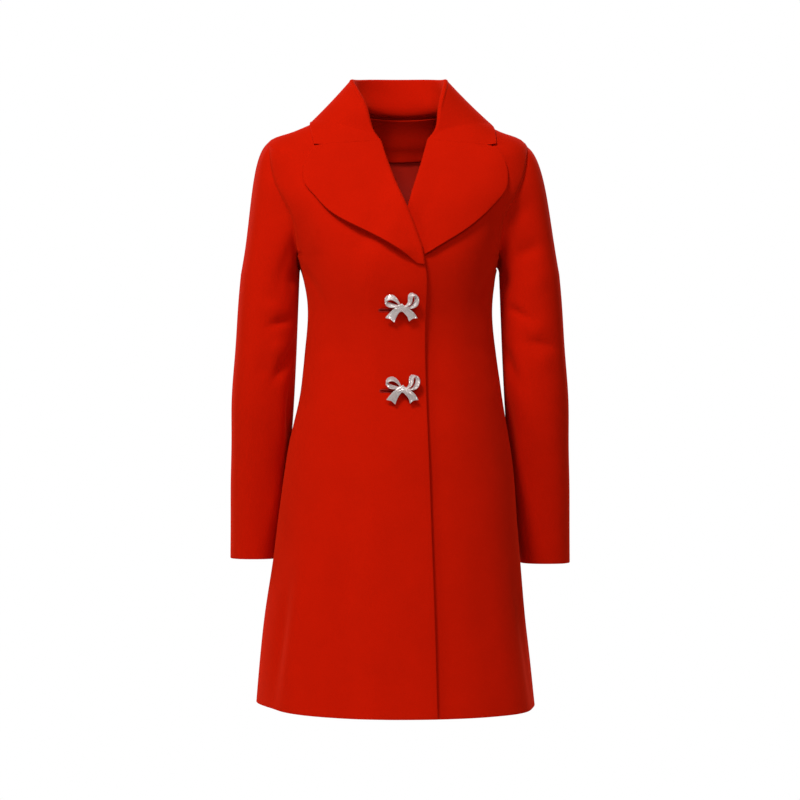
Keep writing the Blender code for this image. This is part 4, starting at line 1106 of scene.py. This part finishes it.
def tail_rows(line):
    """The left, middle and right points of a tail, row by row, with a notch in the last ones."""
    share = np.linspace(0, 1, TAIL_STEPS + 1)
    middle = along(np.array(line, float))(share)
    run = unit(np.gradient(middle[:, :2], axis=0))
    across = np.stack([-run[:, 1], run[:, 0]], axis=-1)
    half = middle[:, 2:3] / 2
    centre = middle[:, :2] - run * TAIL_NOTCH * ease((share - 0.8) / 0.2)[:, None]
    rows = [middle[:, :2] - across * half, centre, middle[:, :2] + across * half]
    deep = [middle[:, 3], middle[:, 3] - 0.0008, middle[:, 3]]
    return np.stack([np.stack([p[:, 0], y, p[:, 1]], axis=-1) for p, y in zip(rows, deep)], axis=1)


def make_ribbon(name, rows, thickness, closed=False):
    """A metal ribbon: its edge is drawn out row by row, and each row's three points set to their places."""
    piece = start_edge(name, (rows[0, 0] + rows[0, 2]) / 2, rows[0, 2] - rows[0, 0])
    shape = bmesh.from_edit_mesh(piece.data)
    pick(shape, shape.verts)
    bmesh.update_edit_mesh(piece.data)
    bpy.ops.mesh.subdivide(number_cuts=1)
    for number, row in enumerate(rows):
        if number:
            bpy.ops.mesh.extrude_region_move(TRANSFORM_OT_translate={"value": tuple(row[1] - rows[number - 1, 1])})
        shape = bmesh.from_edit_mesh(piece.data)
        side = Vector(row[2] - row[0])
        new = sorted((v for v in shape.verts if v.select), key=lambda v: v.co.dot(side))
        for point, place in zip(new, row):
            pick(shape, [point])
            bmesh.update_edit_mesh(piece.data)
            bpy.ops.transform.translate(value=tuple(Vector(place) - point.co))
        pick(shape, new)
        bmesh.update_edit_mesh(piece.data)
    if closed:
        shape = bmesh.from_edit_mesh(piece.data)
        start = [min(shape.verts, key=lambda v: (v.co - Vector(place)).length) for place in rows[0]]
        pick(shape, start + [v for v in shape.verts if v.select])
        bmesh.update_edit_mesh(piece.data)
        bpy.ops.mesh.bridge_edge_loops()
    return finish_ribbon(piece, thickness)


def make_knot():
    """The lump at the crossing: a rounded block."""
    select_nothing()
    bpy.ops.mesh.primitive_cube_add(size=2, location=(0, 0, 0.0005), scale=KNOT)
    knot = bpy.context.object
    bpy.ops.object.transform_apply(location=True, rotation=True, scale=True)
    bpy.ops.object.mode_set(mode="EDIT")
    bpy.ops.mesh.select_all(action="SELECT")
    bpy.ops.mesh.bevel(offset=min(KNOT) * 0.75, segments=4)
    bpy.ops.object.mode_set(mode="OBJECT")
    bpy.ops.object.shade_smooth_by_angle(angle=math.radians(40))
    return knot


def make_post(place, turn, radius, length, flange):
    """A round post with a wider foot at its end."""
    select_nothing()
    bpy.ops.mesh.primitive_cylinder_add(vertices=20, radius=radius, depth=length, location=place, rotation=turn)
    post = bpy.context.object
    bpy.ops.object.transform_apply(location=True, rotation=True, scale=True)
    bpy.ops.object.mode_set(mode="EDIT")
    bpy.ops.mesh.select_mode(type="FACE")
    shape = bmesh.from_edit_mesh(post.data)
    end = max(shape.faces, key=lambda f: (len(f.verts) > 4, f.calc_center_median().y))
    for face in shape.faces:
        face.select = face is end
    bmesh.update_edit_mesh(post.data)
    bpy.ops.mesh.extrude_region_move(TRANSFORM_OT_translate={"value": (0, 0, 0)})
    bpy.ops.transform.resize(value=(flange, flange, flange))
    bpy.ops.mesh.bevel(offset=radius * 0.25, segments=2)
    bpy.ops.object.mode_set(mode="OBJECT")
    bpy.ops.object.shade_smooth_by_angle(angle=math.radians(40))
    return post


def make_stone(size):
    """One cut stone: a girdle, a crown drawn in to a flat table."""
    select_nothing()
    bpy.ops.mesh.primitive_cylinder_add(vertices=8, radius=size / 2, depth=size * 0.30)
    stone = bpy.context.object
    stone.name = "stone"
    bpy.ops.object.mode_set(mode="EDIT")
    bpy.ops.mesh.select_mode(type="FACE")
    shape = bmesh.from_edit_mesh(stone.data)
    top = max(shape.faces, key=lambda f: f.calc_center_median().z)
    for face in shape.faces:
        face.select = face is top
    bmesh.update_edit_mesh(stone.data)
    bpy.ops.mesh.extrude_region_move(TRANSFORM_OT_translate={"value": (0, 0, size * 0.24)})
    bpy.ops.transform.resize(value=(0.56, 0.56, 1))
    bpy.ops.object.mode_set(mode="OBJECT")
    return stone


def ribbon_stones(rows, pitch, thickness, closed=False):
    """The places of the stones on a ribbon and the ways they face, on each side of it that faces front."""
    if closed:
        rows = np.concatenate([rows, rows[:1]])
    lines = [along(rows[:, k]) for k in range(3)]
    length = np.linalg.norm(np.diff(rows[:, 1], axis=0), axis=1).sum()
    places, facings = [], []
    for share in (np.arange(int(length / pitch)) + 0.5) / int(length / pitch):
        left, middle, right = (line(share) for line in lines)
        ahead = lines[1](min(share + 0.01, 1.0)) - lines[1](max(share - 0.01, 0.0))
        normal = unit(np.cross(right - left, ahead))
        count = max(1, int(np.linalg.norm(right - left) / pitch))
        for spot in (np.arange(count) + 0.5) / count:
            place = (1 - 2 * spot) * left + 2 * spot * middle if spot < 0.5 \
                else (2 - 2 * spot) * middle + (2 * spot - 1) * right
            for way in (normal, -normal):
                if way[1] < 0.1:
                    places.append(place + way * thickness / 2)
                    facings.append(way)
    return places, facings


def knot_stones():
    """The places of the stones on the front of the knot."""
    places, facings = [], []
    for rise in np.arange(-1, 1.01, 0.5):
        for across in np.arange(-1, 1.01, 0.4):
            away = math.hypot(rise, across)
            if away < 1.05:
                spot = np.array([across * 0.92, -math.sqrt(max(0.05, 1 - 0.8 * away ** 2)), rise * 0.92])
                places.append(spot * np.array(KNOT) * 1.03 + np.array([0, 0, 0.0005]))
                facings.append(unit(spot / np.array(KNOT)))
    return places, facings


def set_stones(stone, places, facings):
    """Copies the stone to every place, each copy with its own mesh and turned a little its own way."""
    chance = np.random.default_rng(7)
    copies = []
    for place, facing in zip(places, facings):
        copy = stone.copy()
        copy.data = stone.data.copy()
        bpy.context.scene.collection.objects.link(copy)
        lean = Vector(facing) + Vector(chance.normal(0, 0.07, 3))
        spin = Matrix.Rotation(chance.uniform(0, math.pi), 4, "Z")
        turned = lean.to_track_quat("Z", "Y").to_matrix().to_4x4() @ spin
        copy.matrix_world = Matrix.Translation(Vector(place)) @ turned
        copies.append(copy)
    bpy.data.objects.remove(stone)
    return copies


def join_as(name, pieces):
    """Joins the pieces into one object, with its place and turn in its mesh."""
    select_nothing()
    for piece in pieces:
        piece.select_set(True)
    bpy.context.view_layer.objects.active = pieces[0]
    bpy.ops.object.join()
    joined = bpy.context.object
    bpy.ops.object.transform_apply(location=True, rotation=True, scale=True)
    joined.name = joined.data.name = name
    return joined


def give(pieces, material):
    for piece in pieces:
        piece.data.materials.clear()
        piece.data.materials.append(material)


# ------------------------------------------------------------------ what a user would change
class CoatCloth(bpy.types.PropertyGroup):
    thickness: bpy.props.FloatProperty(
        name="Cloth thickness", description="Thickness of the melton cloth", default=CLOTH,
        min=0.001, max=0.003, unit="LENGTH", precision=4)
    wool_colour: bpy.props.FloatVectorProperty(
        name="Wool colour", description="Colour of the outside cloth", default=(0.560, 0.0080, 0.0005),
        size=3, min=0, max=1, subtype="COLOR")
    lining_colour: bpy.props.FloatVectorProperty(
        name="Lining colour", description="Colour of the inside", default=(0.540, 0.0110, 0.0020),
        size=3, min=0, max=1, subtype="COLOR")
    nap_strength: bpy.props.FloatProperty(
        name="Nap", description="How strongly the felted fibres stand out", default=0.35, min=0, max=1,
        subtype="FACTOR")
    sheen: bpy.props.FloatProperty(
        name="Sheen", description="Soft light that the nap catches at its edges", default=0.30, min=0, max=1,
        subtype="FACTOR")


class BowButtons(bpy.types.PropertyGroup):
    ribbon_thickness: bpy.props.FloatProperty(
        name="Ribbon thickness", description="Thickness of the metal ribbons", default=0.0014,
        min=0.0008, max=0.0016, unit="LENGTH", precision=4)
    stone_size: bpy.props.FloatProperty(
        name="Stone size", description="Width of one stone", default=0.0018, min=0.001, max=0.003,
        unit="LENGTH", precision=4)
    stone_pitch: bpy.props.FloatProperty(
        name="Stone spacing", description="From one stone to the next", default=0.0019, min=0.0012,
        max=0.004, unit="LENGTH", precision=4)
    metal_colour: bpy.props.FloatVectorProperty(
        name="Metal colour", description="Colour of the setting", default=(0.72, 0.60, 0.57), size=3,
        min=0, max=1, subtype="COLOR")
    crystal_colour: bpy.props.FloatVectorProperty(
        name="Crystal colour", description="Colour of the stones", default=(0.93, 0.84, 0.82), size=3,
        min=0, max=1, subtype="COLOR")


class PhotoStage(bpy.types.PropertyGroup):
    floor_below: bpy.props.FloatProperty(
        name="Floor", description="How far below the neck a wearer's floor lies", default=1.40, min=1.0,
        max=2.0, unit="LENGTH")
    key_power: bpy.props.FloatProperty(
        name="Key light", description="Power of the large soft light", default=68.0, min=0, unit="POWER")
    surround: bpy.props.FloatProperty(
        name="Surround", description="Brightness of the white room on the cloth", default=0.08, min=0,
        max=2)


def cloth_settings():
    return bpy.context.scene.coat_cloth


def finish(name, maker):
    """The named finish, made the first time that it is asked for."""
    return bpy.data.materials.get(name) or maker(cloth_settings())


def wool():
    return finish("red wool melton", wool_material)


def lining():
    return finish("red lining", lining_material)


def seamed(points, side, at_back=False):
    """The panel's points with its seams opened by half the gap, the armhole along its own direction."""
    moved = open_seams(points, ("first", "last", "top") if at_back else ("last", "top"))
    for end, column in ((1, 0), (-1, -1)) if at_back else ((side, -1),):
        loop, _, off = armhole_loop(end)
        order = np.arange(ARMHOLE_STEPS + 1)
        if at_back:
            order[1:] = np.arange(len(loop) - 1, ARMHOLE_STEPS - 1, -1)
        rows = np.arange(SHOULDER_ROW, ARMPIT_ROW + 1)
        base = points[rows, column].copy()
        base[[0, -1]] = moved[rows[[0, -1]], column]
        moved[rows, column] = base - off[order] * SEAM_GAP / 2
    return moved


def hole_place(x, z, drop):
    """Where a buttonhole lies on the right front: its right end, its left end and its height."""
    right_end = x + BUTTONHOLE_PAST_SHANK
    return right_end, right_end - BUTTONHOLE_LENGTH, z - drop


def cut_buttonhole(panel, x, z, drop):
    """Cuts a slot with round ends through the right front."""
    right, left, height = hole_place(x, z, drop)
    middle = surface_at((right + left) / 2, height)
    select_nothing()
    bpy.ops.mesh.primitive_cube_add(size=1, location=((right + left) / 2, middle[1], height),
                                    scale=(BUTTONHOLE_LENGTH, 0.03, BUTTONHOLE_WIDTH))
    cutter = bpy.context.object
    bpy.ops.object.transform_apply(location=False, rotation=False, scale=True)
    bpy.ops.object.mode_set(mode="EDIT")
    bpy.ops.mesh.select_mode(type="EDGE")
    shape = bmesh.from_edit_mesh(cutter.data)
    for edge in shape.edges:
        edge.select = abs(edge.verts[0].co.y - edge.verts[1].co.y) > 0.01
    bmesh.update_edit_mesh(cutter.data)
    bpy.ops.mesh.bevel(offset=BUTTONHOLE_WIDTH * 0.48, segments=4)
    bpy.ops.object.mode_set(mode="OBJECT")
    give([cutter], wool())
    select_nothing()
    bpy.context.view_layer.objects.active = panel
    panel.select_set(True)
    cut = panel.modifiers.new("buttonhole", "BOOLEAN")
    cut.operation, cut.solver, cut.object = "DIFFERENCE", "EXACT", cutter
    bpy.ops.object.modifier_apply(modifier="buttonhole")
    bpy.data.objects.remove(cutter)


def stitch_buttonhole(label, x, z, drop):
    """Short loops of thread side by side round a buttonhole's edge."""
    right, left, height = hole_place(x, z, drop)
    select_nothing()
    bpy.ops.mesh.primitive_torus_add(major_segments=12, minor_segments=5, major_radius=0.00125,
                                     minor_radius=0.00026, rotation=(0, math.pi / 2, 0))
    stitch = bpy.context.object
    bpy.ops.object.transform_apply(location=False, rotation=True, scale=True)
    bpy.ops.object.shade_smooth()
    half = BUTTONHOLE_WIDTH / 2
    count = int(BUTTONHOLE_LENGTH / 0.00062)
    along_hole = np.linspace(left + half, right - half, count)
    spots = [(spot, height + side * (half + 0.00075), side * 90) for side in (-1, 1) for spot in along_hole]
    for centre, way in ((left + half, 180), (right - half, 0)):
        for turn in range(-75, 76, 25):
            angle = math.radians(way + turn)
            spots.append((centre + (half + 0.00075) * math.cos(angle), height + (half + 0.00075) * math.sin(angle),
                          way + turn))
    spots = np.array(spots)
    places = above_front(np.stack([spots[:, 0], 0 * spots[:, 0], spots[:, 1]], axis=-1), 0.0, -1)
    copies = []
    for place, turn in zip(places, spots[:, 2]):
        copy = stitch.copy()
        copy.data = stitch.data.copy()
        bpy.context.scene.collection.objects.link(copy)
        place = Vector(place)
        copy.matrix_world = Matrix.Translation(place) @ Matrix.Rotation(math.radians(90 - turn), 4, "Y")
        copies.append(copy)
    bpy.data.objects.remove(stitch)
    give(copies, finish("buttonhole twist", thread_material))
    threads = join_as("buttonhole_twist_" + label, copies)
    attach(threads, "root")


# ------------------------------------------------------------------ the pieces
class COAT_OT_fronts(bpy.types.Operator):
    """Makes the right and left front, with the buttonholes cut through the right one"""
    bl_idname = "coat.fronts"
    bl_label = "Fronts and buttonholes"

    def execute(self, context):
        thickness = context.scene.coat_cloth.thickness
        for side, node in ((-1, "front_right"), (1, "front_left")):
            points, normals = front_grid(side)
            grid = seamed(points, side)
            panel = wall(node + "_cloth", grid, normals, (wool(), lining()), thickness, inner_slot=1,
                         sewn=("top", "last"))
            dress(panel, node)
            if side < 0:
                for label, x, z, drop in BUTTONS:
                    cut_buttonhole(panel, x, z, drop)
                    stitch_buttonhole(label, x, z, drop)
        return {"FINISHED"}


class COAT_OT_back(bpy.types.Operator):
    """Makes the back and the facing inside its neck"""
    bl_idname = "coat.back"
    bl_label = "Back and neck facing"

    def execute(self, context):
        thickness = context.scene.coat_cloth.thickness
        points, normals = back_grid()
        grid = seamed(points, 1, at_back=True)
        panel = wall("back_cloth", grid, normals, (wool(), lining()), thickness, inner_slot=1,
                     sewn=("top", "first", "last"))
        dress(panel, "back")
        grid, normals = neck_facing_grid()
        facing = wall("neck_facing_cloth", grid, normals, (wool(),), thickness)
        dress(facing, "back_neck_facing")
        return {"FINISHED"}


class COAT_OT_sleeves(bpy.types.Operator):
    """Makes both sleeves"""
    bl_idname = "coat.sleeves"
    bl_label = "Sleeves"

    def execute(self, context):
        thickness = context.scene.coat_cloth.thickness
        for side, node in ((-1, "sleeve_right"), (1, "sleeve_left")):
            grid, normals = sleeve_grid(side)
            sleeve = wall(node + "_cloth", grid, normals, (wool(), lining()), thickness, wrap=True, inner_slot=1,
                          sewn=("top",))
            dress(sleeve, node)
        return {"FINISHED"}


class COAT_OT_collar(bpy.types.Operator):
    """Makes the collar and both lapels, which meet at the gorges"""
    bl_idname = "coat.collar"
    bl_label = "Collar and lapels"

    def execute(self, context):
        thickness = context.scene.coat_cloth.thickness
        for node, (grid, normals) in lapels_and_collar().items():
            sewn = ("top", "bottom") if node == "collar" else ("top",)
            piece = wall(node + "_cloth", grid, normals, (wool(),), thickness, sewn=sewn)
            dress(piece, node)
        return {"FINISHED"}


class COAT_OT_bows(bpy.types.Operator):
    """Makes both bow buttons and sets their stones"""
    bl_idname = "coat.bows"
    bl_label = "Bow buttons"

    def execute(self, context):
        bows = context.scene.bow_buttons
        thickness = bows.ribbon_thickness
        metal, crystal = setting_material(bows), crystal_material(bows)
        depth = -CLOTH / 2 - BOW_STAND_OFF
        shank_length = LAP - CLOTH / 2 - SHANK_CLEAR - depth - POST_BEHIND
        ribbons = [(loop_rows(LEFT_LOOP, LEFT_LOOP_REACH), True), (loop_rows(RIGHT_LOOP, RIGHT_LOOP_REACH), True),
                   (tail_rows(LEFT_TAIL), False), (tail_rows(RIGHT_TAIL), False)]
        places, facings = knot_stones()
        for rows, closed in ribbons:
            more_places, more_facings = ribbon_stones(rows, bows.stone_pitch, thickness, closed)
            places, facings = places + more_places, facings + more_facings
        for label, x, z, drop in BUTTONS:
            above, below = (surface_at(x, z + rise) for rise in (0.015, -0.015))
            tilt = math.atan2(above[1] - below[1], above[2] - below[2])
            parts = [make_ribbon("ribbon", rows, thickness, closed) for rows, closed in ribbons]
            parts += [make_knot(),
                      make_post((0, POST_BEHIND, -drop / 2), (0, 0, 0), SHANK_RADIUS * 1.2, drop + 0.003, 1.0),
                      make_post((0, POST_BEHIND + shank_length / 2, -drop), (math.pi / 2, 0, 0), SHANK_RADIUS,
                                shank_length, 1.0)]
            give(parts, metal)
            stones = set_stones(make_stone(bows.stone_size), places, facings)
            give(stones, crystal)
            bow = join_as("bow_" + label, parts + stones)
            bow.data.transform(Matrix.Translation(Vector(surface_at(x, z))) @ Matrix.Rotation(-tilt, 4, "X")
                               @ Matrix.Translation((0, depth, 0)))
            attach(bow, "root")
            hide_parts("bow_button_" + label)
        return {"FINISHED"}


# ------------------------------------------------------------------ the stage
def add_area(name, place, look_at, size, power, colour=(1, 1, 1)):
    light = bpy.data.lights.new(name, "AREA")
    light.shape, light.size, light.energy, light.color = "DISK", size, power, colour
    lamp = bpy.data.objects.new(name, light)
    lamp.location = place
    lamp.rotation_euler = (Vector(look_at) - Vector(place)).to_track_quat("-Z", "Y").to_euler()
    bpy.context.scene.collection.objects.link(lamp)


class COAT_OT_stage(bpy.types.Operator):
    """Makes the pale floor, the white room, the lights and the camera"""
    bl_idname = "coat.stage"
    bl_label = "Stage"

    def execute(self, context):
        stage = context.scene.photo_stage
        select_nothing()
        bpy.ops.mesh.primitive_circle_add(vertices=96, radius=2.0, fill_type="NGON",
                                          location=(0, 0, -stage.floor_below))
        floor = context.object
        floor.name = "floor"
        paper = bpy.data.materials.new("white paper")
        shader = shader_of(paper)
        shader.inputs["Base Color"].default_value = (0.86, 0.86, 0.86, 1)
        shader.inputs["Roughness"].default_value = 0.9
        floor.data.materials.append(paper)

        world = bpy.data.worlds.new("white room")
        context.scene.world = world
        world.use_nodes = True
        tree = world.node_tree
        room = tree.nodes["Background"]
        room.inputs["Color"].default_value = (1, 1, 1, 1)
        room.inputs["Strength"].default_value = stage.surround
        seen = new_node(tree, "ShaderNodeBackground", Color=(1, 1, 1, 1), Strength=1.0)
        mix = tree.nodes.new("ShaderNodeMixShader")
        tree.links.new(tree.nodes.new("ShaderNodeLightPath").outputs["Is Camera Ray"], mix.inputs[0])
        tree.links.new(room.outputs[0], mix.inputs[1])
        tree.links.new(seen.outputs[0], mix.inputs[2])
        tree.links.new(mix.outputs[0], tree.nodes["World Output"].inputs["Surface"])

        add_area("key", (-1.0, -1.9, 2.1), (0, 0, -0.3), 0.7, stage.key_power)
        add_area("left", (-3.0, -2.0, 0.5), (0, 0, -0.4), 1.0, stage.key_power * 0.32)
        add_area("front", (0.5, -4.2, 1.2), (0, 0, -0.3), 0.6, stage.key_power * 0.30)
        add_area("right", (1.2, -2.8, 2.0), (0, 0, -0.2), 0.6, stage.key_power * 0.28)
        add_area("behind_left", (-2.4, 3.0, 1.2), (0, 0, -0.4), 1.6, stage.key_power * 1.1)
        add_area("behind_right", (1.8, 3.4, 1.8), (0, 0, -0.4), 1.6, stage.key_power * 1.3)

        lens = bpy.data.cameras.new("camera")
        lens.lens, lens.sensor_width = 120, 36
        camera = bpy.data.objects.new("camera", lens)
        camera.location = (0.00225, -4.0, -0.438)
        camera.rotation_euler = (math.pi / 2, 0, 0)
        context.scene.collection.objects.link(camera)
        context.scene.camera = camera
        context.scene.view_settings.view_transform = "Standard"
        return {"FINISHED"}


OPERATORS = (COAT_OT_fronts, COAT_OT_back, COAT_OT_sleeves, COAT_OT_collar, COAT_OT_bows, COAT_OT_stage)


class COAT_PT_pieces(bpy.types.Panel):
    """Lists the coat's sizes, colours and pieces"""
    bl_label = "A-line coat"
    bl_idname = "COAT_PT_pieces"
    bl_space_type = "VIEW_3D"
    bl_region_type = "UI"
    bl_category = "Coat"

    def draw(self, context):
        for group in (context.scene.coat_cloth, context.scene.bow_buttons, context.scene.photo_stage):
            for name in group.__annotations__:
                self.layout.prop(group, name)
        for maker in OPERATORS:
            self.layout.operator(maker.bl_idname)


CLASSES = (CoatCloth, BowButtons, PhotoStage, *OPERATORS, COAT_PT_pieces)


def register():
    for cls in CLASSES:
        bpy.utils.register_class(cls)
    bpy.types.Scene.coat_cloth = bpy.props.PointerProperty(type=CoatCloth)
    bpy.types.Scene.bow_buttons = bpy.props.PointerProperty(type=BowButtons)
    bpy.types.Scene.photo_stage = bpy.props.PointerProperty(type=PhotoStage)


def unregister():
    del bpy.types.Scene.photo_stage, bpy.types.Scene.bow_buttons, bpy.types.Scene.coat_cloth
    for cls in reversed(CLASSES):
        bpy.utils.unregister_class(cls)


def main():
    register()
    for maker in OPERATORS:
        group, name = maker.bl_idname.split(".")
        getattr(getattr(bpy.ops, group), name)()


if __name__ == "__main__":
    main()
